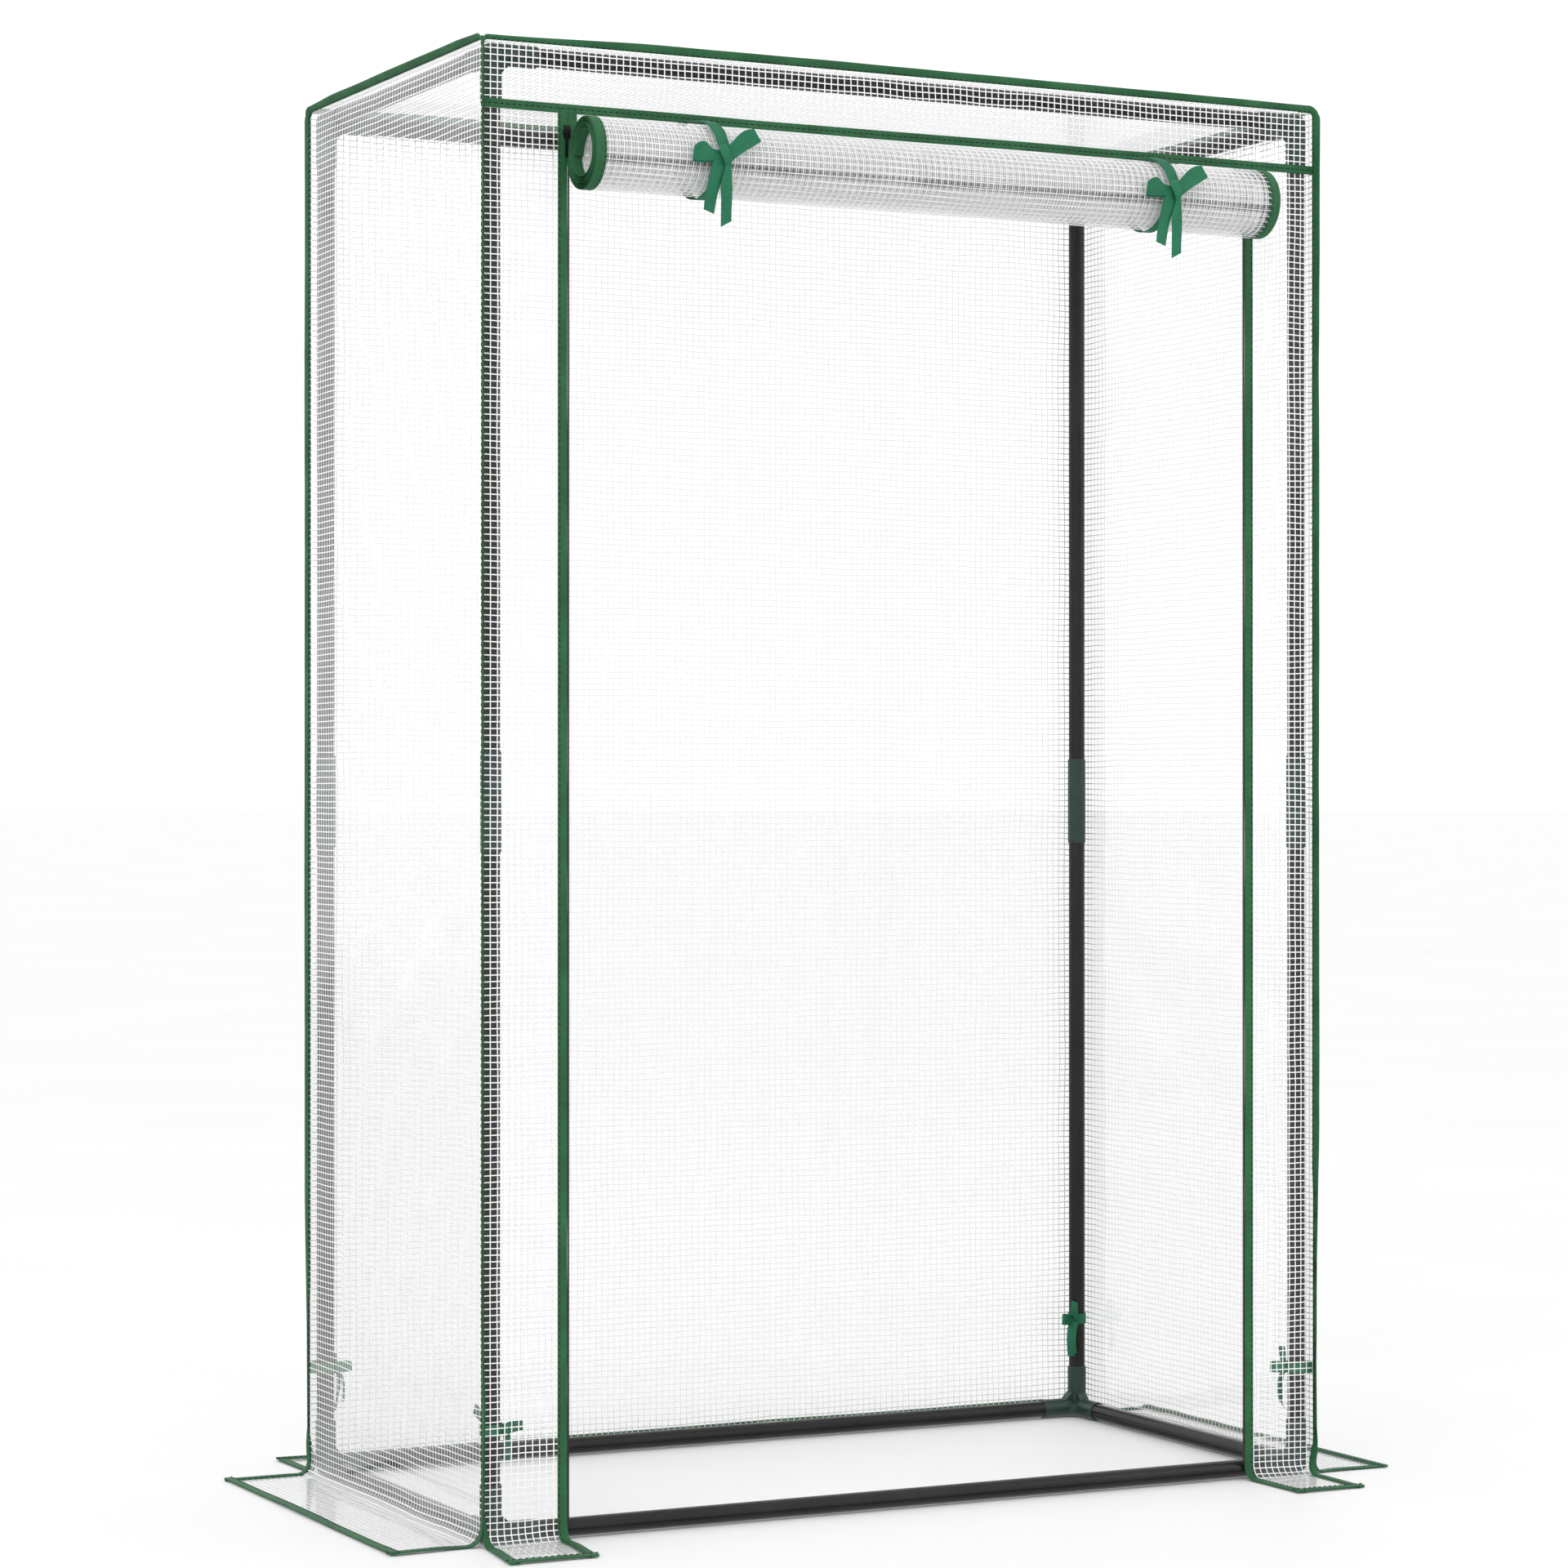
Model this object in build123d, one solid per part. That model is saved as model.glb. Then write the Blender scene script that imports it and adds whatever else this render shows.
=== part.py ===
from build123d import *
import math
import os

# Upright mini greenhouse: a push-fit frame of steel tubes and plastic connectors,
# with a slip-over cover of thread-reinforced clear film that has a roll-up door.
# Millimetres. Origin at the middle of the base, +X to the right along the front,
# +Y to the back, +Z up. The door is in the front, on the -Y side.

# ---- driving dimensions -------------------------------------------------
TUBE_R = 9.5            # 19 mm tube
TUBE_WALL = 0.6
POST_X = 480.2          # post axes
POST_Y = 235.9
RAIL_Z_LOW = 11.0       # axis height of the bottom rails
RAIL_Z_TOP = 1489.0     # axis height of the top rails

SOCKET_R = 11.0         # outside of a connector arm
BORE_R = 9.55           # socket bore: 0.05 mm clear of the tube
ARM_LEN = 49.0          # arm length from the connector's centre
BORE_START = 16.0       # solid core of the connector
END_GAP = 0.5           # tube end to socket bottom
GUSSET = 28.5           # where the web between two arms meets their axes
GUSSET_T = 12.0

COUPLER_R = 10.6        # sleeve that joins the two halves of a post
COUPLER_Z0 = 691.0
COUPLER_Z1 = 792.0
COUPLER_STOP_Z = 741.5
COUPLER_STOP_T = 2.0
COUPLER_STOP_R = 8.0

FILM_T = 0.5            # reinforced film
CX = 494.5              # outer face of the side walls
CY = 248.0              # outer face of the front and back walls
TOP_Z0 = 1500.3         # underside of the roof film
TOP_Z1 = 1500.8
BEND_R = 16.0           # wall turning outwards into its ground skirt
SKIRT_X = 593.0         # outer edge of the side skirts
SKIRT_Y = 350.0         # outer edge of the front and back skirts
HEM_W = 10.0            # hem tape on the skirts
HEM_T = 1.1

FIN_T = 2.4             # folded seam tape standing out at the seams
FIN_W = 9.6
TOP_FIN_W = 10.6

VAL_Z0 = 1433.4         # lower edge of the front valance
VAL_TAPE = 9.0
FLAP_L = -402.5         # opening-side edges of the two front flaps
FLAP_R = 405.5
FLAP_TAPE = 9.0
TAPE_T = 1.0
ZIP_W = 2.6             # zip half sewn to the flap
ZIP_T = 0.9

ROLL_Y = -287.0         # axis of the rolled-up door
ROLL_Z = 1388.0
ROLL_R = 37.5
ROLL_R_IN = 23.0
ROLL_TURNS = 7
ROLL_X0 = -403.0
ROLL_X1 = 406.0
ROLL_TAPE = 11.0
ROLL_TAPE_T = 1.4
STRIP_Y = -248.65       # middle of the door film between valance and roll
STRIP_SPLIT = 1410.8

TIE_W = 11.0            # tie ribbon
TIE_T = 0.8
DOOR_TIE_X = (-268.0, 262.5)
POST_TIE_Z = 120.0

SLIDER_Z0 = 1408.0
SLIDER_Z1 = 1421.0
PULL_Z0 = 1388.5

os.makedirs("parts", exist_ok=True)


def save(name, shape):
    export_step(shape, f"parts/{name}.step")


def group(*solids):
    out = []
    for s in solids:
        out.extend(s.solids())
    return Compound(out)


def cyl(p0, p1, r):
    a, b = Vector(*p0), Vector(*p1)
    d = b - a
    return Solid.make_cylinder(r, d.length, Plane(origin=a, z_dir=d))


def box(x0, x1, y0, y1, z0, z1):
    return Pos((x0 + x1) / 2, (y0 + y1) / 2, (z0 + z1) / 2) * Box(
        abs(x1 - x0), abs(y1 - y0), abs(z1 - z0)
    )


def prism(points, plane, length):
    """A flat polygon drawn on plane and extruded along its normal."""
    face = Face(Wire.make_polygon([plane.from_local_coords(Vector(*p)) for p in points], close=True))
    return Solid.extrude(face, plane.z_dir * length)


def ribbon_outline(path, t):
    """Outline of a strip of thickness t that follows an open path."""
    left, right = [], []
    n = len(path)
    for i, (x, y) in enumerate(path):
        x0, y0 = path[max(i - 1, 0)]
        x1, y1 = path[min(i + 1, n - 1)]
        dx, dy = x1 - x0, y1 - y0
        m = math.hypot(dx, dy)
        nx, ny = -dy / m * t / 2, dx / m * t / 2
        left.append((x + nx, y + ny))
        right.append((x - nx, y - ny))
    return left + right[::-1]


def arc(cx, cy, r, a0, a1, n, ry=None):
    ry = r if ry is None else ry
    return [
        (cx + r * math.cos(math.radians(a0 + (a1 - a0) * i / n)),
         cy + ry * math.sin(math.radians(a0 + (a1 - a0) * i / n)))
        for i in range(n + 1)
    ]


YZ_AT = lambda x: Plane(origin=(x, 0, 0), x_dir=(0, 1, 0), z_dir=(1, 0, 0))
XZ_AT = lambda y: Plane(origin=(0, y, 0), x_dir=(1, 0, 0), z_dir=(0, -1, 0))
XY_AT = lambda z: Plane(origin=(0, 0, z), x_dir=(1, 0, 0), z_dir=(0, 0, 1))

# ---- frame: tubes -------------------------------------------------------
CORNERS = {"fl": (-1, -1), "fr": (1, -1), "bl": (-1, 1), "br": (1, 1)}


def tube(p0, p1):
    return cyl(p0, p1, TUBE_R) - cyl(p0, p1, TUBE_R - TUBE_WALL)


reach = BORE_START + END_GAP
for tag, (sx, sy) in CORNERS.items():
    x, y = sx * POST_X, sy * POST_Y
    stop0 = COUPLER_STOP_Z - COUPLER_STOP_T / 2
    stop1 = COUPLER_STOP_Z + COUPLER_STOP_T / 2
    save(f"post_lower_{tag}", tube((x, y, RAIL_Z_LOW + reach), (x, y, stop0)))
    save(f"post_upper_{tag}", tube((x, y, stop1), (x, y, RAIL_Z_TOP - reach)))
    # sleeve with a stop ring between the two tube ends
    sleeve = cyl((x, y, COUPLER_Z0), (x, y, COUPLER_Z1), COUPLER_R)
    sleeve = sleeve.chamfer(0.5, None, sleeve.edges().filter_by(GeomType.CIRCLE))
    sleeve = sleeve - cyl((x, y, COUPLER_Z0 - 1), (x, y, stop0), BORE_R)
    sleeve = sleeve - cyl((x, y, stop1), (x, y, COUPLER_Z1 + 1), BORE_R)
    sleeve = sleeve - cyl((x, y, stop0 - 1), (x, y, stop1 + 1), COUPLER_STOP_R)
    save(f"post_coupler_{tag}", sleeve)

for level, z in (("bottom", RAIL_Z_LOW), ("top", RAIL_Z_TOP)):
    for tag, sy in (("front", -1), ("back", 1)):
        save(f"rail_{level}_{tag}", tube((-POST_X + reach, sy * POST_Y, z), (POST_X - reach, sy * POST_Y, z)))
    for tag, sx in (("left", -1), ("right", 1)):
        save(f"rail_{level}_{tag}", tube((sx * POST_X, -POST_Y + reach, z), (sx * POST_X, POST_Y - reach, z)))


# ---- frame: three-way corner connectors ---------------------------------
def connector(sx, sy, sz):
    """Three sockets at right angles, webbed together. sx, sy, sz point outwards."""
    dirs = [Vector(-sx, 0, 0), Vector(0, -sy, 0), Vector(0, 0, -sz)]
    solid = Solid.make_sphere(SOCKET_R, angle1=-90, angle2=90, angle3=360)
    for d in dirs:
        arm = cyl((0, 0, 0), tuple(d * ARM_LEN), SOCKET_R)
        rim = [e for e in arm.edges().filter_by(GeomType.CIRCLE) if e.center().length > 1]
        arm = arm.chamfer(0.7, None, rim)
        solid = solid + arm
    for a, b in ((0, 1), (0, 2), (1, 2)):
        pl = Plane(origin=(0, 0, 0), x_dir=dirs[a], z_dir=dirs[a].cross(dirs[b]))
        tri = prism([(0, 0, -GUSSET_T / 2), (GUSSET, 0, -GUSSET_T / 2), (0, GUSSET, -GUSSET_T / 2)], pl, GUSSET_T)
        solid = solid + tri
    for d in dirs:
        solid = solid - cyl(tuple(d * BORE_START), tuple(d * (ARM_LEN + 2)), BORE_R)
    return solid


for tag, (sx, sy) in CORNERS.items():
    for level, sz, z in (("bottom", -1, RAIL_Z_LOW), ("top", 1, RAIL_Z_TOP)):
        save(f"corner_{level}_{tag}", Pos(sx * POST_X, sy * POST_Y, z) * connector(sx, sy, sz))


# ---- cover: film walls with ground skirts --------------------------------
def wall_profile(face_at, skirt_at, top):
    """Section of a wall that turns outwards on the ground. The wall's outer face is
    at face_at, the skirt ends at skirt_at, both on the negative side."""
    t = FILM_T
    c = face_at + t / 2 - BEND_R
    path = [(face_at + t / 2, top), (face_at + t / 2, top * 0.5)]
    path += arc(c, BEND_R + t / 2, BEND_R, 0, -90, 12)
    path += [(skirt_at, t / 2)]
    return ribbon_outline(path, t)


def wall_x(sx, y0, y1, top):
    pts = [(px, pz, 0) for px, pz in wall_profile(-CX, -SKIRT_X, top)]
    pl = Plane(origin=(0, y1, 0), x_dir=(1, 0, 0), z_dir=(0, -1, 0))
    s = prism(pts, pl, y1 - y0)
    return s if sx < 0 else s.mirror(Plane.YZ)


def wall_y(sy, x0, x1, top):
    pts = [(py, pz, 0) for py, pz in wall_profile(-CY, -SKIRT_Y, top)]
    pl = Plane(origin=(x0, 0, 0), x_dir=(0, 1, 0), z_dir=(1, 0, 0))
    s = prism(pts, pl, x1 - x0)
    return s if sy < 0 else s.mirror(Plane.XZ)


save("cover_roof", box(-CX, CX, -CY, CY, TOP_Z0, TOP_Z1))
save("cover_wall_left", wall_x(-1, -CY + FILM_T, CY - FILM_T, TOP_Z0))
save("cover_wall_right", wall_x(1, -CY + FILM_T, CY - FILM_T, TOP_Z0))
save("cover_wall_back", wall_y(1, -CX, CX, TOP_Z0))
save("cover_flap_left", wall_y(-1, -CX, FLAP_L - ZIP_W, VAL_Z0))
save("cover_flap_right", wall_y(-1, FLAP_R + ZIP_W, CX, VAL_Z0))
save("cover_valance", box(-CX, CX, -CY, -CY + FILM_T, VAL_Z0, TOP_Z0))


# ---- cover: folded seam tapes --------------------------------------------
def fin_profile(w):
    """Tape folded over a seam and standing out at 45 degrees from the corner at (0, 0),
    towards (-, -). Its root is a point, so it only touches the two films."""
    h = FIN_T / 2
    d = (-math.sqrt(0.5), -math.sqrt(0.5))
    n = (math.sqrt(0.5), -math.sqrt(0.5))
    at = lambda s, q: (d[0] * s + n[0] * q, d[1] * s + n[1] * q)
    return [(0, 0), at(h, h), at(w, h), at(w, -h), at(h, -h)]


corner_fins = []
for sx, sy in CORNERS.values():
    pts = [(-sx * px, -sy * py, 0) for px, py in fin_profile(FIN_W)]
    pts = [(sx * CX + px, sy * CY + py, 0) for px, py, _ in pts]
    corner_fins.append(prism(pts, XY_AT(BEND_R + 2), TOP_Z1 - BEND_R - 2))
save("seam_tape_corners", group(*corner_fins))

roof_fins = []
for sy in (-1, 1):
    pts = [(sy * CY - sy * py, TOP_Z1 - pz, 0) for py, pz in fin_profile(TOP_FIN_W)]
    roof_fins.append(prism(pts, YZ_AT(-CX), 2 * CX))
for sx in (-1, 1):
    pts = [(sx * CX - sx * px, TOP_Z1 - pz, 0) for px, pz in fin_profile(TOP_FIN_W)]
    pl = Plane(origin=(0, -CY, 0), x_dir=(-1, 0, 0), z_dir=(0, 1, 0))
    roof_fins.append(prism([(-a, b, 0) for a, b, _ in pts], pl, 2 * CY))
save("seam_tape_roof", group(*roof_fins))

# ---- cover: hem tapes on the skirts --------------------------------------
z0, z1 = FILM_T, FILM_T + HEM_T
hems = []
inner_x = CX + BEND_R
inner_y = CY + BEND_R
for sx in (-1, 1):
    yl = CY - FILM_T
    hems.append(box(sx * (SKIRT_X - HEM_W), sx * SKIRT_X, -yl, yl, z0, z1))
    for sy in (-1, 1):
        hems.append(box(sx * inner_x, sx * (SKIRT_X - HEM_W), sy * (yl - HEM_W), sy * yl, z0, z1))
spans = [(1, -CX, CX), (-1, -CX, FLAP_L - ZIP_W), (-1, FLAP_R + ZIP_W, CX)]
for sy, a, b in spans:
    hems.append(box(a, b, sy * (SKIRT_Y - HEM_W), sy * SKIRT_Y, z0, z1))
    hems.append(box(a, a + HEM_W, sy * inner_y, sy * (SKIRT_Y - HEM_W), z0, z1))
    hems.append(box(b - HEM_W, b, sy * inner_y, sy * (SKIRT_Y - HEM_W), z0, z1))
save("hem_tape_skirts", group(*hems))

# ---- cover: valance and flap tapes, zip halves ----------------------------
yf = -CY
save("tape_valance", box(-CX, CX, yf - TAPE_T, yf, VAL_Z0, VAL_Z0 + VAL_TAPE))
a = FLAP_L - ZIP_W
save("tape_flap_left", box(a - FLAP_TAPE, a, yf - TAPE_T, yf, BEND_R + 2, VAL_Z0))
save("zip_half_left", box(a, FLAP_L, yf - 0.2, yf - 0.2 + ZIP_T, BEND_R + 2, VAL_Z0))
b = FLAP_R + ZIP_W
save("tape_flap_right", box(b, b + FLAP_TAPE, yf - TAPE_T, yf, BEND_R + 2, VAL_Z0))
save("zip_half_right", box(FLAP_R, b, yf - 0.2, yf - 0.2 + ZIP_T, BEND_R + 2, VAL_Z0))

# ---- door film: hanging part, and the part that travels with the roll -----
sx0, sx1 = ROLL_X0 + 5.5, ROLL_X1 - 5.5     # side tapes of the hanging film stay clear of the zip sliders
y0, y1 = STRIP_Y - FILM_T / 2, STRIP_Y + FILM_T / 2
save("door_film_upper", box(sx0 + 9, sx1 - 9, y0, y1, STRIP_SPLIT + 0.2, VAL_Z0))
save("door_film_lower", box(sx0 + 9, sx1 - 9, y0, y1, ROLL_Z, STRIP_SPLIT - 0.2))
save("door_tape_upper", group(
    box(sx0, sx0 + 9, y0 - 0.1, y1 + 0.1, STRIP_SPLIT + 0.2, VAL_Z0),
    box(sx1 - 9, sx1, y0 - 0.1, y1 + 0.1, STRIP_SPLIT + 0.2, VAL_Z0)))
save("door_tape_lower", group(
    box(sx0, sx0 + 9, y0 - 0.1, y1 + 0.1, ROLL_Z, STRIP_SPLIT - 0.2),
    box(sx1 - 9, sx1, y0 - 0.1, y1 + 0.1, ROLL_Z, STRIP_SPLIT - 0.2)))


# ---- door film, rolled up --------------------------------------------------
def spiral(t, r_out, n_per_turn=28):
    """Section of the rolled film, from the outside at the back (+Y) inwards."""
    n = ROLL_TURNS * n_per_turn
    r_in = ROLL_R_IN
    path = []
    for i in range(n + 1):
        r = (r_out - t / 2) + (r_in - r_out + t) * i / n
        ang = -2 * math.pi * ROLL_TURNS * i / n
        path.append((ROLL_Y + r * math.cos(ang), ROLL_Z + r * math.sin(ang)))
    return ribbon_outline(path, t)


film_section = [(p, q, 0) for p, q in spiral(FILM_T, ROLL_R)]
save("door_roll", prism(film_section, YZ_AT(ROLL_X0 + ROLL_TAPE), ROLL_X1 - ROLL_X0 - 2 * ROLL_TAPE))
tape_section = [(p, q, 0) for p, q in spiral(ROLL_TAPE_T, ROLL_R)]
save("door_roll_tape", group(
    prism(tape_section, YZ_AT(ROLL_X0), ROLL_TAPE),
    prism(tape_section, YZ_AT(ROLL_X1 - ROLL_TAPE), ROLL_TAPE)))


# ---- door ties: a ribbon round the roll, tied in a bow at the front --------
def door_tie(xc):
    rt = ROLL_R + 0.5 + TIE_T / 2
    back_y = STRIP_Y + FILM_T / 2 + 0.3 + TIE_T / 2
    px, pz = yf - TAPE_T - TIE_T / 2 - 0.2, VAL_Z0 - 1.0
    dx, dz = px - ROLL_Y, pz - ROLL_Z
    dist = math.hypot(dx, dz)
    base = math.degrees(math.atan2(dz, dx))
    off = math.degrees(math.acos(rt / dist))
    path = [(px, pz)]
    path += arc(ROLL_Y, ROLL_Z, rt, base + off, 270, 22)
    rb = back_y - ROLL_Y
    path += arc(ROLL_Y, ROLL_Z - rt + rb, rb, 272, 360, 9)
    path += [(back_y, pz - 8), (back_y, pz)]
    x0 = xc - TIE_W / 2
    loop = prism([(p, q, 0) for p, q in ribbon_outline(path, TIE_T)], YZ_AT(x0), TIE_W)
    yk = ROLL_Y - rt - TIE_T / 2          # front of the band
    knot = Pos(xc, yk - 2.0, ROLL_Z) * Box(13, 5.0, 13)
    knot = fillet(knot.edges(), 1.8)
    parts = [knot]
    for s, ln, dz in ((-1, 31, 0.0), (1, 34, 0.0)):
        # loop of the bow, lying to the side
        ring = [(s * 3, yk - 3.2)] + [
            (s * (ln - 8 + 8 * math.cos(math.radians(v))), yk - 4.2 - 3.2 * math.sin(math.radians(v)))
            for v in range(-90, 91, 20)
        ] + [(s * 3, yk - 3.9)]
        if s < 0:
            ring = ring[::-1]
        pts = [(xc + p, q, 0) for p, q in ribbon_outline(ring, TIE_T)]
        parts.append(prism(pts, XY_AT(ROLL_Z - TIE_W / 2), TIE_W))
    parts.append(box(xc - 15, xc - 4, yk - 2.2, yk - 1.4, ROLL_Z - 62, ROLL_Z - 2))
    parts.append(box(xc - 2, xc + 9, yk - 3.4, yk - 2.6, ROLL_Z - 72, ROLL_Z - 2))
    out = loop
    for p in parts:
        out = out + p
    return out


save("door_tie_left", door_tie(DOOR_TIE_X[0]))
save("door_tie_right", door_tie(DOOR_TIE_X[1]))


# ---- post ties: a ribbon round each post, near the ground ------------------
def post_tie(sx, sy):
    """Made for the left front post, then mirrored."""
    x, y = -POST_X, -POST_Y
    h0, h1 = POST_TIE_Z - TIE_W / 2, POST_TIE_Z + TIE_W / 2
    r0, r1 = TUBE_R + 0.3, TUBE_R + 0.3 + TIE_T
    out = cyl((x, y, h0), (x, y, h1), r1) - cyl((x, y, h0 - 1), (x, y, h1 + 1), r0)
    # lead to the corner seam
    dx, dy = -(CX - FILM_T - POST_X) + 0.6, -(CY - FILM_T - POST_Y) + 0.6
    m = math.hypot(dx, dy)
    ux, uy = dx / m, dy / m
    lead = [(x + ux * (r0 + 0.3), y + uy * (r0 + 0.3)), (x + dx, y + dy)]
    out = out + prism([(p, q, 0) for p, q in ribbon_outline(lead, 1.6)], XY_AT(h0), TIE_W)
    # knot on the inner side, loops towards the middle of the front, tails down
    kx = x + r1 + 2.0
    knot = Pos(kx, y, POST_TIE_Z) * Box(5.4, 9, 11.6)
    knot = fillet(knot.edges(), 1.5)
    out = out + knot
    ring = [(kx + 1, y - 1.0)] + [
        (kx + 18 + 5 * math.cos(math.radians(v)), y - 1.6 + 2.6 * math.sin(math.radians(v)))
        for v in range(-90, 91, 30)
    ] + [(kx + 1, y - 0.1)]
    out = out + prism([(p, q, 0) for p, q in ribbon_outline(ring, TIE_T)], XY_AT(h0 + 0.5), TIE_W - 1)
    out = out + box(kx - 1.2, kx - 0.4, y - 4.5, y + 4.5, POST_TIE_Z - 44, POST_TIE_Z)
    out = out + box(kx + 0.6, kx + 1.4, y - 3.5, y + 4.5, POST_TIE_Z - 36, POST_TIE_Z)
    if sx > 0:
        out = out.mirror(Plane.YZ)
    if sy > 0:
        out = out.mirror(Plane.XZ)
    return out


for tag, (sx, sy) in CORNERS.items():
    save(f"post_tie_{tag}", post_tie(sx, sy))


# ---- zip sliders and their pulls -------------------------------------------
def slider(s):
    """Made on the left, mirrored about the middle of the door for the right.
    Two plates over the zip half and a web on the door side."""
    e = FLAP_L if s < 0 else -FLAP_R
    front = box(e - 4.2, e + 2.6, yf - 3.0, yf - 1.5, SLIDER_Z0, SLIDER_Z1)
    back = box(e - 4.2, e + 2.6, yf + 1.0, yf + 2.2, SLIDER_Z0, SLIDER_Z1)
    web = box(e + 0.6, e + 2.6, yf - 1.6, yf + 1.1, SLIDER_Z0 + 1, SLIDER_Z1 - 1)
    out = front + back + web
    # bail that holds the pull: two cheeks with a pin hole through both
    cheeks = box(e - 5.4, e - 4.4, yf - 6.4, yf - 2.9, SLIDER_Z0 + 3, SLIDER_Z0 + 8)
    cheeks = cheeks + box(e - 0.8, e + 0.2, yf - 6.4, yf - 2.9, SLIDER_Z0 + 3, SLIDER_Z0 + 8)
    cheeks = cheeks + box(e - 5.4, e - 4.0, yf - 3.0, yf - 1.5, SLIDER_Z0 + 3, SLIDER_Z0 + 8)
    pin = cyl((e - 5.0, yf - 4.9, SLIDER_Z0 + 5.5), (e - 0.2, yf - 4.9, SLIDER_Z0 + 5.5), 0.6)
    out = out + cheeks + pin
    return out if s < 0 else out.mirror(Plane.YZ)


def pull(s):
    e = FLAP_L if s < 0 else -FLAP_R
    zc = SLIDER_Z0 + 5.5
    yc = yf - 4.9
    eye = cyl((e - 4.0, yc, zc), (e - 1.2, yc, zc), 1.3)
    blade = box(e - 4.0, e - 1.2, yc - 0.5, yc + 0.5, PULL_Z0, zc)
    tab = eye + blade - cyl((e - 5.0, yc, zc), (e - 0.5, yc, zc), 0.7)
    return tab if s < 0 else tab.mirror(Plane.YZ)


save("zip_slider_left", slider(-1))
save("zip_slider_right", slider(1))
save("zip_pull_left", pull(-1))
save("zip_pull_right", pull(1))

print("roll film length mm", round(sum(
    math.hypot(film_section[i + 1][0] - film_section[i][0], film_section[i + 1][1] - film_section[i][1])
    for i in range(ROLL_TURNS * 28)), 1))
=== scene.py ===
import bpy
import math
import numpy as np
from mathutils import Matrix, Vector


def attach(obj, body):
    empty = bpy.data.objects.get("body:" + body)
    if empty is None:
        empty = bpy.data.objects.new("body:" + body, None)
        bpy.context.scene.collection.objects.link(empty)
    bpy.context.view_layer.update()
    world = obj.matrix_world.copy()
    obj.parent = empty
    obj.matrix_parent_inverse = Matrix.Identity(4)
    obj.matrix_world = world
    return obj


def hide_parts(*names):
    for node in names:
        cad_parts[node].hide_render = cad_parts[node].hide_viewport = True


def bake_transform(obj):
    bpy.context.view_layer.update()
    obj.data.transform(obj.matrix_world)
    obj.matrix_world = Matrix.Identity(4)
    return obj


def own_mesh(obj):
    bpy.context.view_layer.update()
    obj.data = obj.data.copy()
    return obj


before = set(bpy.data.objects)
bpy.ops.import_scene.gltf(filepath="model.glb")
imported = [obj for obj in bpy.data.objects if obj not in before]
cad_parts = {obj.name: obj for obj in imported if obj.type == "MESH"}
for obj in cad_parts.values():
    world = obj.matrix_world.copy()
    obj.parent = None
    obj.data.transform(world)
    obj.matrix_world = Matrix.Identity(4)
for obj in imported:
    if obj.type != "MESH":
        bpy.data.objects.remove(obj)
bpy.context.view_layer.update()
MM = 0.001

# ------------------------------------------------------------------ camera
cam_data = bpy.data.cameras.new("camera")
cam = bpy.data.objects.new("camera", cam_data)
bpy.context.scene.collection.objects.link(cam)
cam.location = (-2.0529, -4.0173, 0.7465)
cam.rotation_euler = (math.radians(90 + 0.18), 0, math.radians(-26.684))
cam_data.sensor_width = 36
cam_data.lens = 5007.7 / 1920 * 36
cam_data.clip_end = 400
bpy.context.scene.camera = cam


# ------------------------------------------------------------------ mesh helpers
def make_mesh(name, verts, faces, mat, smooth=True, sharp=None):
    """faces is an (n, 4) or (n, 3) array, or a list of such arrays."""
    verts = np.asarray(verts, np.float32).reshape(-1, 3)
    blocks = faces if isinstance(faces, list) else [faces]
    blocks = [np.asarray(b, np.int32) for b in blocks if len(b)]
    me = bpy.data.meshes.new(name)
    me.vertices.add(len(verts))
    me.vertices.foreach_set("co", verts.ravel())
    loops = np.concatenate([b.ravel() for b in blocks])
    totals = np.concatenate([np.full(len(b), b.shape[1], np.int32) for b in blocks])
    me.loops.add(len(loops))
    me.loops.foreach_set("vertex_index", loops)
    me.polygons.add(len(totals))
    me.polygons.foreach_set("loop_start", np.concatenate([[0], np.cumsum(totals)[:-1]]).astype(np.int32))
    me.polygons.foreach_set("use_smooth", np.full(len(totals), smooth))
    me.update(calc_edges=True)
    me.validate()
    if smooth and sharp is not None:
        me.set_sharp_from_angle(angle=math.radians(sharp))
    me.materials.append(mat)
    ob = bpy.data.objects.new(name, me)
    bpy.context.scene.collection.objects.link(ob)
    return ob


class Builder:
    """Collects vertices and faces for one object."""

    def __init__(self):
        self.v, self.f4, self.f3, self.n = [], [], [], 0

    def add(self, verts, quads=None, tris=None):
        verts = np.asarray(verts, float).reshape(-1, 3)
        self.v.append(verts)
        if quads is not None and len(quads):
            self.f4.append(np.asarray(quads, int) + self.n)
        if tris is not None and len(tris):
            self.f3.append(np.asarray(tris, int) + self.n)
        self.n += len(verts)

    def build(self, name, mat, smooth=True, sharp=None):
        blocks = []
        if self.f4:
            blocks.append(np.concatenate(self.f4))
        if self.f3:
            blocks.append(np.concatenate(self.f3))
        return make_mesh(name, np.concatenate(self.v), blocks, mat, smooth, sharp)


def unit(a):
    a = np.asarray(a, float)
    n = np.linalg.norm(a, axis=-1, keepdims=True)
    return a / np.maximum(n, 1e-12)


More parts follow.
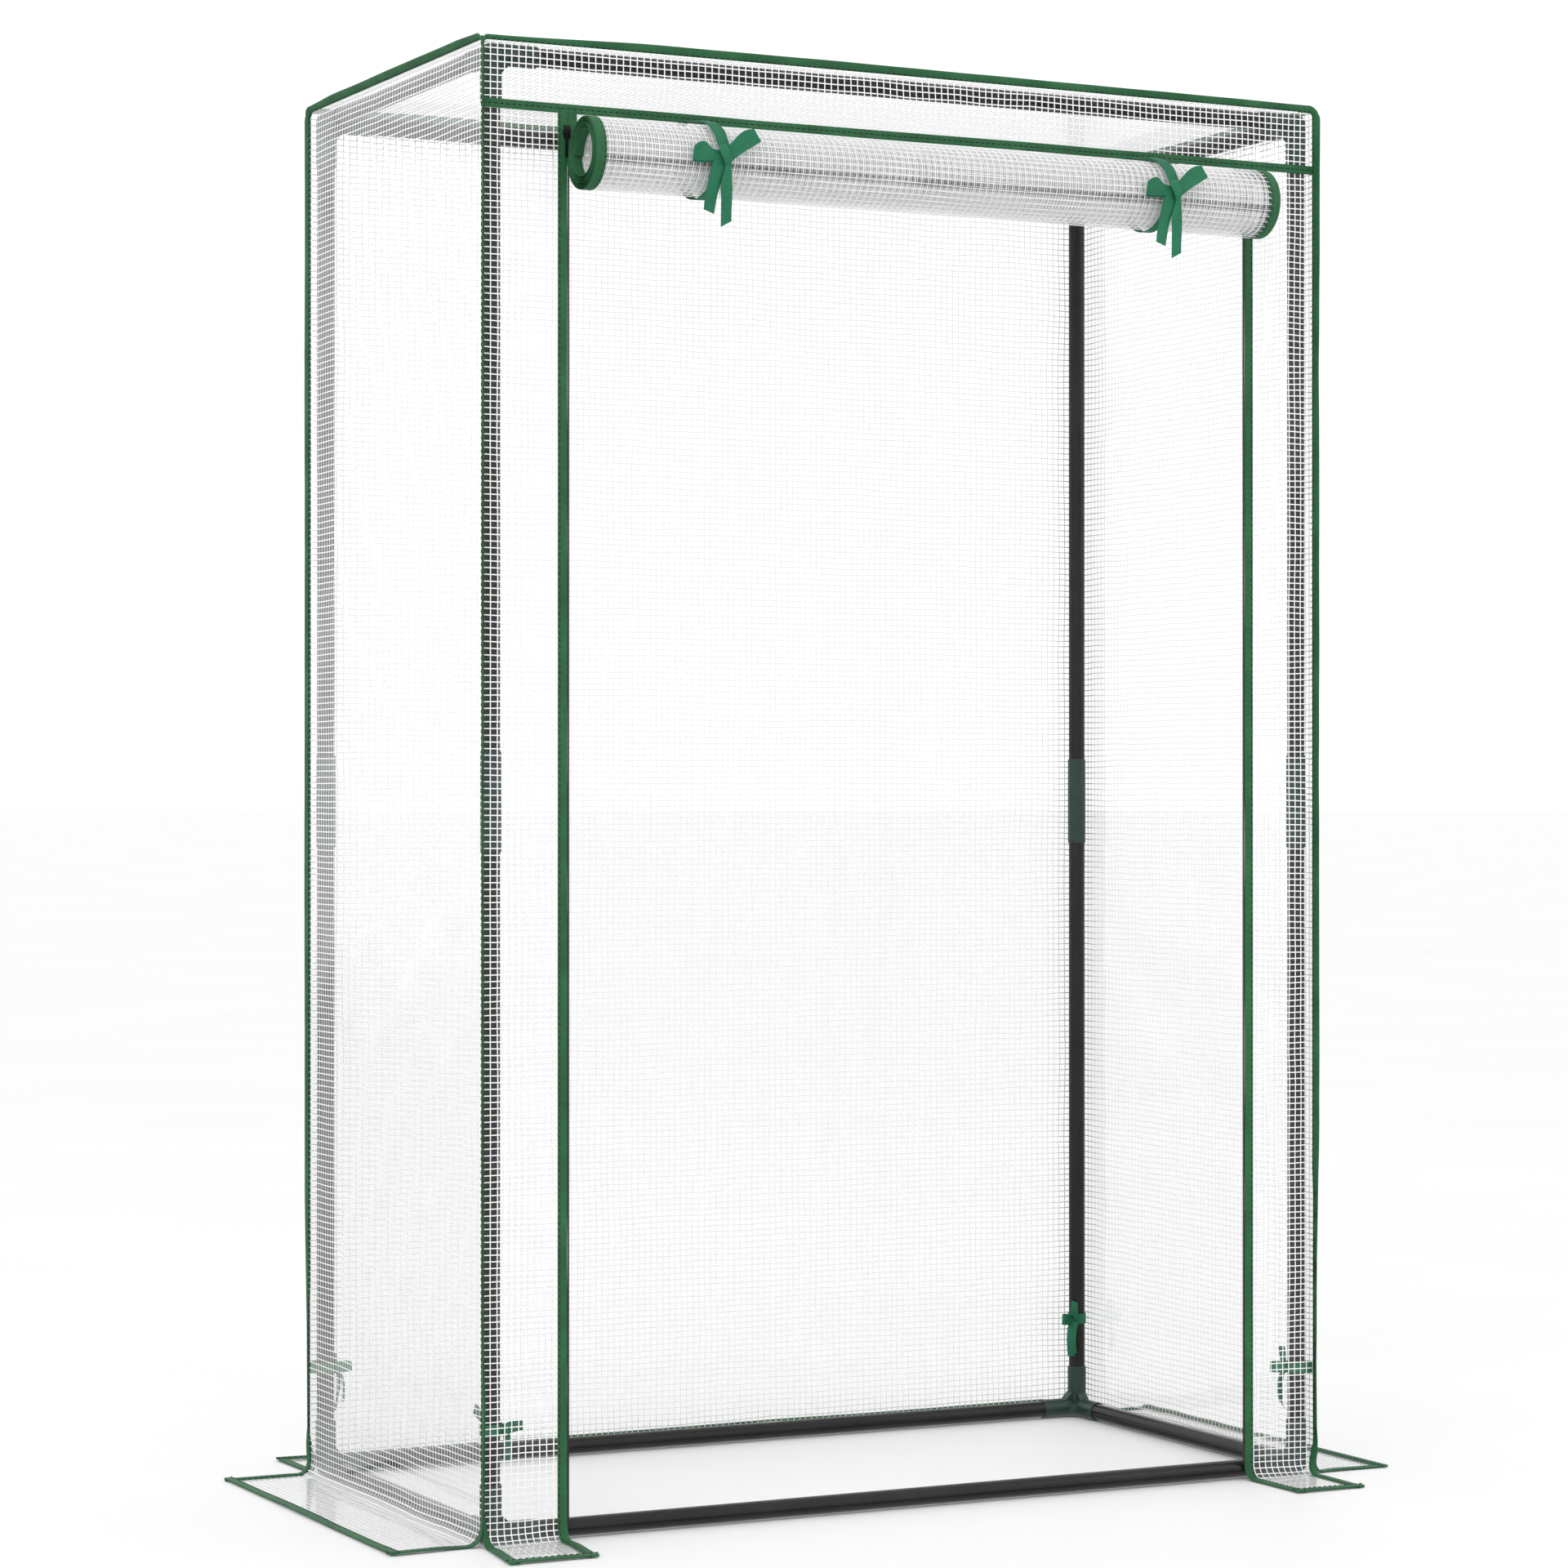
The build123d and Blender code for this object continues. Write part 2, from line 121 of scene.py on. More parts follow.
def sweep(bld, path, wdir, ndir, profile, closed_path=False):
    """A closed section carried along a path. path, wdir and ndir are (n, 3); profile is a
    list of (a, b): path + wdir * a + ndir * b. It may be (n, k, 2) to change along the path."""
    path, wdir, ndir = (np.asarray(x, float) for x in (path, wdir, ndir))
    prof = np.asarray(profile, float)
    if prof.ndim == 2:
        prof = np.broadcast_to(prof, (len(path),) + prof.shape)
    n, k = prof.shape[:2]
    pts = path[:, None] + wdir[:, None] * prof[..., :1] + ndir[:, None] * prof[..., 1:]
    i = np.arange(n if closed_path else n - 1)
    j = np.arange(k)
    a = (i[:, None] * k + j[None]).ravel()
    b = (i[:, None] * k + (j[None] + 1) % k).ravel()
    c = (((i[:, None] + 1) % n) * k + (j[None] + 1) % k).ravel()
    d = (((i[:, None] + 1) % n) * k + j[None]).ravel()
    quads = np.stack([a, b, c, d], 1)
    verts = pts.reshape(-1, 3)
    tris = []
    if not closed_path:
        verts = np.concatenate([verts, pts[0].mean(0)[None], pts[-1].mean(0)[None]])
        c0, c1 = n * k, n * k + 1
        for q in range(k):
            tris.append((c0, (q + 1) % k, q))
            tris.append((c1, (n - 1) * k + q, (n - 1) * k + (q + 1) % k))
    bld.add(verts, quads, tris)


class Waves:
    """Smooth seeded noise of two variables, about -1 to 1, from a few sines."""

    def __init__(self, seed, low, high, count=9):
        r = np.random.RandomState(seed)
        length = np.exp(r.uniform(math.log(low), math.log(high), count))
        ang = r.uniform(0, 2 * math.pi, count)
        self.k = 2 * math.pi / length
        self.cx, self.cy = np.cos(ang), np.sin(ang)
        self.ph = r.uniform(0, 2 * math.pi, count)
        self.am = length ** 0.6
        self.am = self.am / np.sqrt((self.am ** 2).sum()) * 1.0

    def __call__(self, u, v):
        u, v = np.broadcast_arrays(np.asarray(u, float), np.asarray(v, float))
        t = self.k * (u[..., None] * self.cx + v[..., None] * self.cy) + self.ph
        return (np.sin(t) * self.am).sum(-1)


def smoothstep(x, a, b):
    t = np.clip((np.asarray(x, float) - a) / (b - a), 0, 1)
    return t * t * (3 - 2 * t)


# ------------------------------------------------------------------ materials
def new_mat(name):
    m = bpy.data.materials.new(name)
    m.use_nodes = True
    nt = m.node_tree
    p = nt.nodes["Principled BSDF"]
    return m, nt, p


def node(nt, kind, **props):
    n = nt.nodes.new(kind)
    for k, v in props.items():
        setattr(n, k, v)
    return n


def ramp(nt, src, stops):
    r = node(nt, "ShaderNodeValToRGB")
    e = r.color_ramp.elements
    e[0].position, e[0].color = stops[0][0], (*stops[0][1], 1)
    e[1].position, e[1].color = stops[-1][0], (*stops[-1][1], 1)
    for pos, col in stops[1:-1]:
        x = e.new(pos)
        x.color = (*col, 1)
    nt.links.new(src, r.inputs[0])
    return r.outputs[0]


def coords(nt, scale=(1, 1, 1)):
    tc = node(nt, "ShaderNodeTexCoord")
    mp = node(nt, "ShaderNodeMapping")
    mp.inputs["Scale"].default_value = scale
    nt.links.new(tc.outputs["Object"], mp.inputs[0])
    return mp.outputs[0]


def noise_tex(nt, vec, scale, detail=3.0, rough=0.55):
    n = node(nt, "ShaderNodeTexNoise")
    n.inputs["Scale"].default_value = scale
    n.inputs["Detail"].default_value = detail
    n.inputs["Roughness"].default_value = rough
    nt.links.new(vec, n.inputs["Vector"])
    return n.outputs["Fac"]


def bump(nt, p, height, strength, distance):
    b = node(nt, "ShaderNodeBump")
    b.inputs["Strength"].default_value = strength
    b.inputs["Distance"].default_value = distance
    nt.links.new(height, b.inputs["Height"])
    nt.links.new(b.outputs[0], p.inputs["Normal"])
    return b


def math_node(nt, op, a, b=None, clamp=False):
    m = node(nt, "ShaderNodeMath", operation=op)
    m.use_clamp = clamp
    for i, x in enumerate((a, b)):
        if x is None:
            continue
        if isinstance(x, (int, float)):
            m.inputs[i].default_value = x
        else:
            nt.links.new(x, m.inputs[i])
    return m.outputs[0]


def gloss_over(nt, base, rough, strength, head_on=0.013, edge=0.75, power=3.0):
    """Adds the mirror reflection of a thin sheet, stronger at a glancing angle."""
    lw = node(nt, "ShaderNodeLayerWeight")
    lw.inputs["Blend"].default_value = 0.5
    up = math_node(nt, "POWER", lw.outputs["Facing"], power)
    f = math_node(nt, "ADD", math_node(nt, "MULTIPLY", up, edge * strength), head_on * strength, clamp=True)
    gl = node(nt, "ShaderNodeBsdfGlossy")
    gl.inputs["Color"].default_value = (0.97, 0.97, 0.97, 1)
    gl.inputs["Roughness"].default_value = rough
    mix = node(nt, "ShaderNodeMixShader")
    nt.links.new(f, mix.inputs[0])
    nt.links.new(base, mix.inputs[1])
    nt.links.new(gl.outputs[0], mix.inputs[2])
    out = next(n for n in nt.nodes if n.type == "OUTPUT_MATERIAL")
    nt.links.new(mix.outputs[0], out.inputs["Surface"])


def film_material(name="clear_film", strength=1.0, low_veil=0.022, veil_noise=0.022):
    """Clear polyethylene film: see-through, with a faint milky veil that is denser near the ground."""
    m, nt, p = new_mat(name)
    vec = coords(nt)
    n1 = noise_tex(nt, vec, 2.2, 3.0)
    sep = node(nt, "ShaderNodeSeparateXYZ")
    nt.links.new(vec, sep.inputs[0])
    low = node(nt, "ShaderNodeMapRange")
    low.inputs["From Min"].default_value = 0.15
    low.inputs["From Max"].default_value = 0.95
    low.inputs["To Min"].default_value = low_veil
    low.inputs["To Max"].default_value = 0.0
    nt.links.new(sep.outputs["Z"], low.inputs["Value"])
    veil = math_node(nt, "ADD", low.outputs[0], math_node(nt, "MULTIPLY", n1, veil_noise), clamp=True)
    p.inputs["Base Color"].default_value = (0.80, 0.81, 0.81, 1)
    p.inputs["Roughness"].default_value = 0.4
    tr = node(nt, "ShaderNodeBsdfTransparent")
    mix = node(nt, "ShaderNodeMixShader")
    nt.links.new(veil, mix.inputs[0])
    nt.links.new(tr.outputs[0], mix.inputs[1])
    nt.links.new(p.outputs[0], mix.inputs[2])
    gloss_over(nt, mix.outputs[0], 0.045, strength)
    return m


def roll_film_material():
    """The door's film wound on itself: its many layers look greyer between the threads, and painted shade by angle
    round the roll makes it lighter at top and bottom with a dark band below the front.
    """
    m, nt, p = new_mat("wound_film_painted_shade")
    vec = coords(nt)
    sep = node(nt, "ShaderNodeSeparateXYZ")
    nt.links.new(vec, sep.inputs[0])
    wob = noise_tex(nt, coords(nt, (5, 60, 60)), 3.0, 2.0)
    ang = math_node(nt, "ARCTAN2", math_node(nt, "SUBTRACT", sep.outputs["Z"], RZ), math_node(nt, "SUBTRACT", RY, sep.outputs["Y"]))
    ang = math_node(nt, "ADD", ang, math_node(nt, "MULTIPLY", math_node(nt, "SUBTRACT", wob, 0.5), 0.07))
    t = node(nt, "ShaderNodeMapRange")
    t.inputs["From Min"].default_value = -math.pi / 2
    t.inputs["From Max"].default_value = math.pi / 2
    nt.links.new(ang, t.inputs["Value"])
    deg = lambda d: (d + 90) / 180
    g = lambda v: (v, v, v)
    # painted shade: the grey is set by the angle round the roll, lighter at top and bottom, with a dark band a little
    # below the front that stands in for a dark reflection
    col = ramp(nt, t.outputs[0], [(0.0, g(0.86)), (deg(-50), g(0.74)), (deg(-26), g(0.55)), (deg(-19), g(0.10)), (deg(-13), g(0.10)),
                                  (deg(-8), g(0.52)), (deg(22), g(0.60)), (deg(50), g(0.76)), (1.0, g(0.88))])
    nt.links.new(col, p.inputs["Base Color"])
    p.inputs["Roughness"].default_value = 0.3
    # painted shade: the film is made more opaque in the same dark band so that the band shows
    al = ramp(nt, t.outputs[0], [(0.0, g(0.05)), (deg(-26), g(0.07)), (deg(-19), g(0.34)), (deg(-13), g(0.34)), (deg(-8), g(0.08)), (1.0, g(0.05))])
    patch = ramp(nt, noise_tex(nt, coords(nt, (4.0, 30, 30)), 3.0, 2.0), [(0.38, g(0.35)), (0.60, g(1.0))])
    al = math_node(nt, "MULTIPLY", al, patch)
    tr = node(nt, "ShaderNodeBsdfTransparent")
    mix = node(nt, "ShaderNodeMixShader")
    nt.links.new(al, mix.inputs[0])
    nt.links.new(tr.outputs[0], mix.inputs[1])
    nt.links.new(p.outputs[0], mix.inputs[2])
    gloss_over(nt, mix.outputs[0], 0.10, 0.35)
    return m


def thread_material():
    m, nt, p = new_mat("white_thread")
    vec = coords(nt)
    n = noise_tex(nt, vec, 900.0, 2.0)
    col = ramp(nt, n, [(0.3, (0.90, 0.905, 0.905)), (0.7, (0.955, 0.955, 0.955))])
    nt.links.new(col, p.inputs["Base Color"])
    p.inputs["Roughness"].default_value = 0.45
    bump(nt, p, n, 0.3, 0.0002)
    gloss_over(nt, p.outputs[0], 0.06, 1.0)
    return m


def tape_material(name, dark, mid, light, rib=900.0):
    """Woven polypropylene tape: fine ribs, worn lighter here and there."""
    m, nt, p = new_mat(name)
    vec = coords(nt)
    blotch = noise_tex(nt, vec, 22.0, 4.0)
    fine = noise_tex(nt, vec, 420.0, 3.0)
    mix = math_node(nt, "MULTIPLY_ADD", blotch, 0.65)
    mix.node.inputs[2].default_value = 0.0
    both = math_node(nt, "MULTIPLY_ADD", fine, 0.35)
    nt.links.new(mix, both.node.inputs[2])
    col = ramp(nt, both, [(0.32, dark), (0.5, mid), (0.68, light)])
    nt.links.new(col, p.inputs["Base Color"])
    wx = node(nt, "ShaderNodeTexWave", wave_type="BANDS", bands_direction="DIAGONAL")
    wx.inputs["Scale"].default_value = rib
    wx.inputs["Distortion"].default_value = 0.6
    wx.inputs["Detail"].default_value = 1.0
    nt.links.new(vec, wx.inputs["Vector"])
    h = math_node(nt, "ADD", wx.outputs["Fac"], fine)
    bump(nt, p, h, 0.35, 0.0003)
    r = node(nt, "ShaderNodeMapRange")
    r.inputs["To Min"].default_value = 0.42
    r.inputs["To Max"].default_value = 0.62
    nt.links.new(fine, r.inputs["Value"])
    nt.links.new(r.outputs[0], p.inputs["Roughness"])
    p.inputs["Specular IOR Level"].default_value = 0.25
    return m


def plain_material(name, dark, light, rough=(0.35, 0.5), scale=90.0, bump_scale=300.0, bump_d=0.0001,
                   strength=0.25, metallic=0.0, coat=0.0):
    m, nt, p = new_mat(name)
    vec = coords(nt)
    a = noise_tex(nt, vec, scale, 4.0)
    b = noise_tex(nt, vec, bump_scale, 3.0)
    nt.links.new(ramp(nt, a, [(0.35, dark), (0.65, light)]), p.inputs["Base Color"])
    r = node(nt, "ShaderNodeMapRange")
    r.inputs["To Min"].default_value = rough[0]
    r.inputs["To Max"].default_value = rough[1]
    nt.links.new(b, r.inputs["Value"])
    nt.links.new(r.outputs[0], p.inputs["Roughness"])
    bump(nt, p, b, strength, bump_d)
    p.inputs["Metallic"].default_value = metallic
    p.inputs["Coat Weight"].default_value = coat
    p.inputs["Coat Roughness"].default_value = 0.15
    return m


M_FILM = film_material()
M_FILM_TOP = film_material("clear_film_roof", 0.35, 0.0, 0.012)
M_THREAD = thread_material()
M_TAPE = tape_material("green_tape", (0.014, 0.088, 0.032), (0.022, 0.122, 0.046), (0.036, 0.160, 0.064))
M_TIE = tape_material("tie_ribbon", (0.009, 0.120, 0.058), (0.014, 0.158, 0.078), (0.022, 0.190, 0.096), rib=1400.0)
M_STITCH = plain_material("dark_thread", (0.002, 0.006, 0.003), (0.005, 0.012, 0.006), (0.6, 0.8), 300, 1500)
M_TUBE = plain_material("coated_tube", (0.011, 0.0115, 0.011), (0.016, 0.0165, 0.0155), (0.14, 0.22), 14, 160, 0.00003, 0.25)
M_TUBE.node_tree.nodes["Principled BSDF"].inputs["Specular IOR Level"].default_value = 0.28
M_CONN = plain_material("moulded_connector", (0.010, 0.034, 0.027), (0.015, 0.044, 0.035), (0.34, 0.46), 40, 700, 0.00008, 0.4)
M_ZIP = plain_material("zip_coil", (0.004, 0.004, 0.004), (0.010, 0.010, 0.010), (0.35, 0.5), 400, 2000)
M_METAL = plain_material("zip_metal", (0.014, 0.014, 0.014), (0.024, 0.024, 0.024), (0.25, 0.4), 300, 1500, metallic=0.6)


def door_sheet_material():
    """Film and thread grid in one, for the stretch of door that grows when the door comes down."""
    m, nt, p = new_mat("door_grid_film")
    tc = node(nt, "ShaderNodeTexCoord")
    sep = node(nt, "ShaderNodeSeparateXYZ")
    nt.links.new(tc.outputs["Object"], sep.inputs[0])
    masks = []
    for axis, pitch, width in (("X", PITCH_U * MM, 0.95 * MM), ("Z", PITCH_V * MM, 0.95 * MM)):
        f = math_node(nt, "DIVIDE", sep.outputs[axis], pitch)
        f = math_node(nt, "FRACT", math_node(nt, "ADD", f, 1000.5))
        f = math_node(nt, "ABSOLUTE", math_node(nt, "SUBTRACT", f, 0.5))
        masks.append(math_node(nt, "LESS_THAN", f, width / pitch / 2))
    line = math_node(nt, "MAXIMUM", masks[0], masks[1])
    n1 = noise_tex(nt, tc.outputs["Object"], 2.2, 3.0)
    veil = node(nt, "ShaderNodeMapRange")
    veil.inputs["From Min"].default_value = 0.3
    veil.inputs["From Max"].default_value = 0.7
    veil.inputs["To Min"].default_value = 0.045
    veil.inputs["To Max"].default_value = 0.095
    nt.links.new(n1, veil.inputs["Value"])
    al = math_node(nt, "MAXIMUM", math_node(nt, "MULTIPLY", line, 0.93), veil.outputs[0])
    nt.links.new(al, p.inputs["Alpha"])
    p.inputs["Base Color"].default_value = (0.84, 0.85, 0.85, 1)
    r = node(nt, "ShaderNodeMapRange")
    r.inputs["To Min"].default_value = 0.12
    r.inputs["To Max"].default_value = 0.45
    nt.links.new(line, r.inputs["Value"])
    nt.links.new(r.outputs[0], p.inputs["Roughness"])
    p.inputs["IOR"].default_value = 1.5
    return m


# ------------------------------------------------------------------ shared sizes (metres unless said)
PITCH_U, PITCH_V = 7.65, 6.65          # thread pitch, mm
FX, FY = 0.4943, 0.2480                # film planes
TOP = 1.5008
BEND = 0.016
SKIRT_X, SKIRT_Y = 0.5925, 0.3495
VAL_Z = 1.4334
GROUND = 0.0008

PIECES = {}


def put(ob, body="cover", replaces=()):
    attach(ob, body)
    if replaces:
        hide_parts(*replaces)
    PIECES[ob.name] = ob
    return ob


# ------------------------------------------------------------------ the film surfaces
class Wall:
    """A wall of film that turns out onto the ground. u runs along the wall, s up it:
    above BEND, s is the height; below it, s goes round the bend and out over the ground."""

    def __init__(self, out, along, face, reach, u0, u1, top, seed, flare=(0, 0), sag=1.0):
        self.out = np.array(out, float)
        self.along = np.array(along, float)
        self.face, self.u0, self.u1, self.top = face, u0, u1, top
        self.s_flat = BEND - math.pi / 2 * BEND
        self.s0 = self.s_flat - (reach - face - BEND) if reach else 0.0
        self.flare = flare
        self.big = Waves(seed, 0.25, 0.9)
        self.mid = Waves(seed + 1, 0.06, 0.22)
        self.lift = Waves(seed + 2, 0.12, 0.4)
        self.sag = sag

    def frame(self, s):
        """distance outwards, height and the surface's normal as (out, up) at s"""
        s = np.asarray(s, float)
        th = np.clip((BEND - s) / BEND, 0, math.pi / 2)
        flat = np.maximum(self.s_flat - s, 0)
        dist = BEND * (1 - np.cos(th)) + flat
        z = np.where(s > BEND, s, BEND * (1 - np.sin(th)))
        return dist, z, np.cos(th), np.sin(th)

    def point(self, u, s, off=0.0):
        u, s = np.broadcast_arrays(np.asarray(u, float), np.asarray(s, float))
        dist, z, no, nz = self.frame(s)
        e = np.minimum(u - self.u0, self.u1 - u)            # distance from the side edges
        edge = smoothstep(e, 0.0, 0.05)
        topm = smoothstep(self.top - s, 0.0, 0.04)
        wall = smoothstep(s, BEND, 0.08)
        h = (0.5 + 0.5 * self.big(u, s)) * 0.0016 + 0.0006 * self.mid(u, s)
        h = np.maximum(h, 0) * edge * topm * wall * self.sag
        skirt = smoothstep(-s, -self.s_flat, -self.s_flat + 0.03)
        lift = np.maximum(0.35 + 0.65 * self.lift(u, s), 0) * 0.0010 * skirt
        h = h + lift + off
        share = np.clip(dist / 0.1, 0, 1)
        t = (u - self.u0) / (self.u1 - self.u0)
        uu = u + share * (self.flare[0] * (1 - t) + self.flare[1] * t)
        p = self.out * (self.face + dist + no * h)[..., None] + self.along * uu[..., None]
        p = p + np.array([0, 0, 1.0]) * (z + nz * h + GROUND)[..., None]
        return p

    def normal(self, u, s):
        _, _, no, nz = self.frame(s)
        u, no, nz = np.broadcast_arrays(np.asarray(u, float), no, nz)
        return self.out * no[..., None] + np.array([0, 0, 1.0]) * nz[..., None]


class Flat:
    """The roof, and the valance: a plain rectangle of film with two axes."""

    def __init__(self, origin, au, av, normal, u0, u1, v0, v1, seed, amp=0.0014, inward=False):
        self.o, self.au, self.av, self.n = (np.array(x, float) for x in (origin, au, av, normal))
        self.u0, self.u1, self.s0, self.top = u0, u1, v0, v1
        self.big = Waves(seed, 0.2, 0.8)
        self.amp = amp

    def point(self, u, s, off=0.0):
        u, s = np.broadcast_arrays(np.asarray(u, float), np.asarray(s, float))
        e = smoothstep(np.minimum(u - self.u0, self.u1 - u), 0, 0.05)
        f = smoothstep(np.minimum(s - self.s0, self.top - s), 0, 0.03)
        h = np.maximum(0.4 + 0.6 * self.big(u, s), 0) * self.amp * e * f + off
        return self.o + self.au * u[..., None] + self.av * s[..., None] + self.n * h[..., None]

    def normal(self, u, s):
        u, s = np.broadcast_arrays(np.asarray(u, float), np.asarray(s, float))
        return np.broadcast_to(self.n, u.shape + (3,))


def grid_faces(nu, nv):
    i, j = np.meshgrid(np.arange(nu - 1), np.arange(nv - 1), indexing="ij")
    a = (i * nv + j).ravel()
    return np.stack([a, a + nv, a + nv + 1, a + 1], 1)


def s_samples(w, step=0.03):
    """sample positions up a wall, close together round the bend"""
    if not isinstance(w, Wall):
        return np.linspace(w.s0, w.top, max(3, int((w.top - w.s0) / step) + 2))
    flat = np.linspace(w.s0, w.s_flat, 8)[:-1]
    arc = np.linspace(w.s_flat, BEND, 9)[:-1]
    up = np.linspace(BEND, w.top, int((w.top - BEND) / step) + 2)
    return np.concatenate([flat, arc, up])


def film_piece(name, w, step=0.025, mat=None):
    us = np.linspace(w.u0, w.u1, max(4, int((w.u1 - w.u0) / step) + 2))
    ss = s_samples(w, step)
    U, S = np.meshgrid(us, ss, indexing="ij")
    return make_mesh(name, w.point(U, S).reshape(-1, 3), grid_faces(len(us), len(ss)), mat or M_FILM)


RHOMB = [(-1.0, 0.0), (0.0, -1.0), (1.0, 0.0), (0.0, 1.0)]


def thread_lines(bld, pts, nrm, width=0.00058, thick=0.00007):
    """A flattened closed thread along pts, lying in the surface with normal nrm."""
    tan = unit(np.gradient(pts, axis=0))
    side = unit(np.cross(nrm, tan))
    sweep(bld, pts, side, nrm, [(a * width, b * thick) for a, b in RHOMB])


def threads_piece(name, w, seed, step_h=0.03, step_v=0.035, phase=(0.5, 0.5), fade_skirt=False):
    """White reinforcing threads, laid in the film at the real pitch, a little wavy."""
    wob_u = Waves(seed + 11, 0.05, 0.35)
    wob_v = Waves(seed + 12, 0.05, 0.30)
    b = Builder()
    pu, pv = PITCH_U * MM, PITCH_V * MM
    ss = s_samples(w, step_v)
    k0, k1 = int(math.ceil(w.u0 / pu - phase[0])), int(math.floor(w.u1 / pu - phase[0]))
    for k in range(k0, k1 + 1):
        u = (k + phase[0]) * pu
        if not w.u0 + 0.001 < u < w.u1 - 0.001:
            continue
        edge = min(u - w.u0, w.u1 - u)
        amp = 0.00075 * float(smoothstep(edge, 0, 0.03))
        uu = u + amp * wob_u(u, ss)
        uu = np.clip(uu, w.u0, w.u1)
        thread_lines(b, w.point(uu, ss, 0.00008), w.normal(uu, ss))
    us = np.linspace(w.u0, w.u1, max(4, int((w.u1 - w.u0) / step_h) + 2))
    k0, k1 = int(math.ceil(w.s0 / pv - phase[1])), int(math.floor(w.top / pv - phase[1]))
    for k in range(k0, k1 + 1):
        s = (k + phase[1]) * pv
        if not w.s0 + 0.001 < s < w.top - 0.001:
            continue
        sv = s + 0.00085 * wob_v(us, s)
        sv = np.clip(sv, w.s0, w.top)
        thread_lines(b, w.point(us, sv, 0.00016), w.normal(us, sv))
    return b.build(name, M_THREAD, smooth=False)


W_LEFT = Wall((-1, 0, 0), (0, 1, 0), FX, SKIRT_X, -FY, FY, TOP, 10, flare=(-0.006, 0.0))
W_RIGHT = Wall((1, 0, 0), (0, 1, 0), FX, SKIRT_X, -FY, FY, TOP, 20, flare=(-0.002, 0.003))
W_BACK = Wall((0, 1, 0), (1, 0, 0), FY, SKIRT_Y, -FX, FX, TOP, 30, flare=(-0.003, 0.003))
FLAP_L0, FLAP_L1 = -FX, -0.4022
FLAP_R0, FLAP_R1 = 0.4048, FX
W_FL = Wall((0, -1, 0), (1, 0, 0), FY, SKIRT_Y, FLAP_L0, FLAP_L1, VAL_Z + 0.004, 40, flare=(-0.013, -0.010))
W_FR = Wall((0, -1, 0), (1, 0, 0), FY, SKIRT_Y, FLAP_R0, FLAP_R1, VAL_Z + 0.004, 50, flare=(0.002, -0.002))
W_VAL = Flat((0, -FY, 0), (1, 0, 0), (0, 0, 1), (0, -1, 0), -FX, FX, VAL_Z, TOP, 60, amp=0.0012)
W_ROOF = Flat((0, 0, TOP), (1, 0, 0), (0, 1, 0), (0, 0, 1), -FX, FX, -FY, FY, 70, amp=0.0022)

WALLS = [
    ("wall_left", W_LEFT, "cover_wall_left", 100, "stretched"),
    ("wall_right", W_RIGHT, "cover_wall_right", 200, "stretched"),
    ("wall_back", W_BACK, "cover_wall_back", 300, "stretched"),
    ("flap_left", W_FL, "cover_flap_left", 400, "hung"),
    ("flap_right", W_FR, "cover_flap_right", 500, "hung"),
    ("valance", W_VAL, "cover_valance", 600, "hung"),
    ("roof", W_ROOF, "cover_roof", 700, "stretched"),
]
for tag, w, cad, seed, held in WALLS:
    ob = put(film_piece("film_" + tag, w, mat=M_FILM_TOP if tag in ("roof", "valance") else M_FILM), replaces=[cad])
    th = put(threads_piece("threads_" + tag, w, seed))


# ------------------------------------------------------------------ tapes and stitches
def tape_profile(width, thick, groove=None):
    """Folded tape, rounded at its outer fold (a = width), with a groove along the stitch line."""
    t = thick / 2
    g = groove if groove is not None else width * 0.32
    return [
        (0.0, -t * 0.72), (g - 0.0012, -t * 0.96), (g, -t * 0.72), (g + 0.0012, -t), (width * 0.86, -t),
        (width * 0.965, -t * 0.72), (width, 0.0), (width * 0.965, t * 0.72),
        (width * 0.86, t), (g + 0.0012, t), (g, t * 0.72), (g - 0.0012, t * 0.96), (0.0, t * 0.72),
    ]


def resample(path, step, *others):
    """path and other (n, 3) tracks at an even spacing"""
    path = np.asarray(path, float)
    d = np.concatenate([[0], np.cumsum(np.linalg.norm(np.diff(path, axis=0), axis=1))])
    n = max(2, int(round(d[-1] / step)) + 1)
    t = np.linspace(0, d[-1], n)
    out = [np.stack([np.interp(t, d, x[:, i]) for i in range(3)], 1) for x in (path, *[np.asarray(o, float) for o in others])]
    return out


def stitches(bld, path, wdir, ndir, a, b, pitch=0.00665, length=0.0050, width=0.0012, height=0.00045, sides=(1, -1), start=0.002):
    """Short raised stitches along a line at distance a across the tape, on the faces at +b and -b."""
    path, wdir, ndir = resample(path, pitch, wdir, ndir)
    wdir, ndir = unit(wdir), unit(ndir)
    tan = unit(np.gradient(path, axis=0))
    c = path + wdir * (np.asarray(a, float) if np.ndim(a) == 0 else np.interp(np.linspace(0, 1, len(path)), np.linspace(0, 1, len(a)), a)[:, None])
    m = len(c)
    if m < 2:
        return
    for side in sides:
        base = c + ndir * (b * side)
        h = length / 2
        # six points: two ends sunk in, four round the middle
        pts = np.stack([
            base - tan * h - ndir * side * 0.0001,
            base - tan * h * 0.55 + wdir * width / 2,
            base - tan * h * 0.55 + ndir * side * height,
            base - tan * h * 0.55 - wdir * width / 2,
            base + tan * h * 0.55 + wdir * width / 2,
            base + tan * h * 0.55 + ndir * side * height,
            base + tan * h * 0.55 - wdir * width / 2,
            base + tan * h - ndir * side * 0.0001,
            base - tan * h * 0.55 - ndir * side * 0.0002,
            base + tan * h * 0.55 - ndir * side * 0.0002,
        ], 1)
        off = (np.arange(m) * 10)[:, None, None]
        tr = np.array([[0, 1, 2], [0, 2, 3], [0, 3, 8], [0, 8, 1], [7, 5, 4], [7, 6, 5], [7, 9, 6], [7, 4, 9]])
        qd = np.array([[1, 4, 5, 2], [2, 5, 6, 3], [3, 6, 9, 8], [8, 9, 4, 1]])
        bld.add(pts.reshape(-1, 3), (qd[None] + off).reshape(-1, 4), (tr[None] + off).reshape(-1, 3))


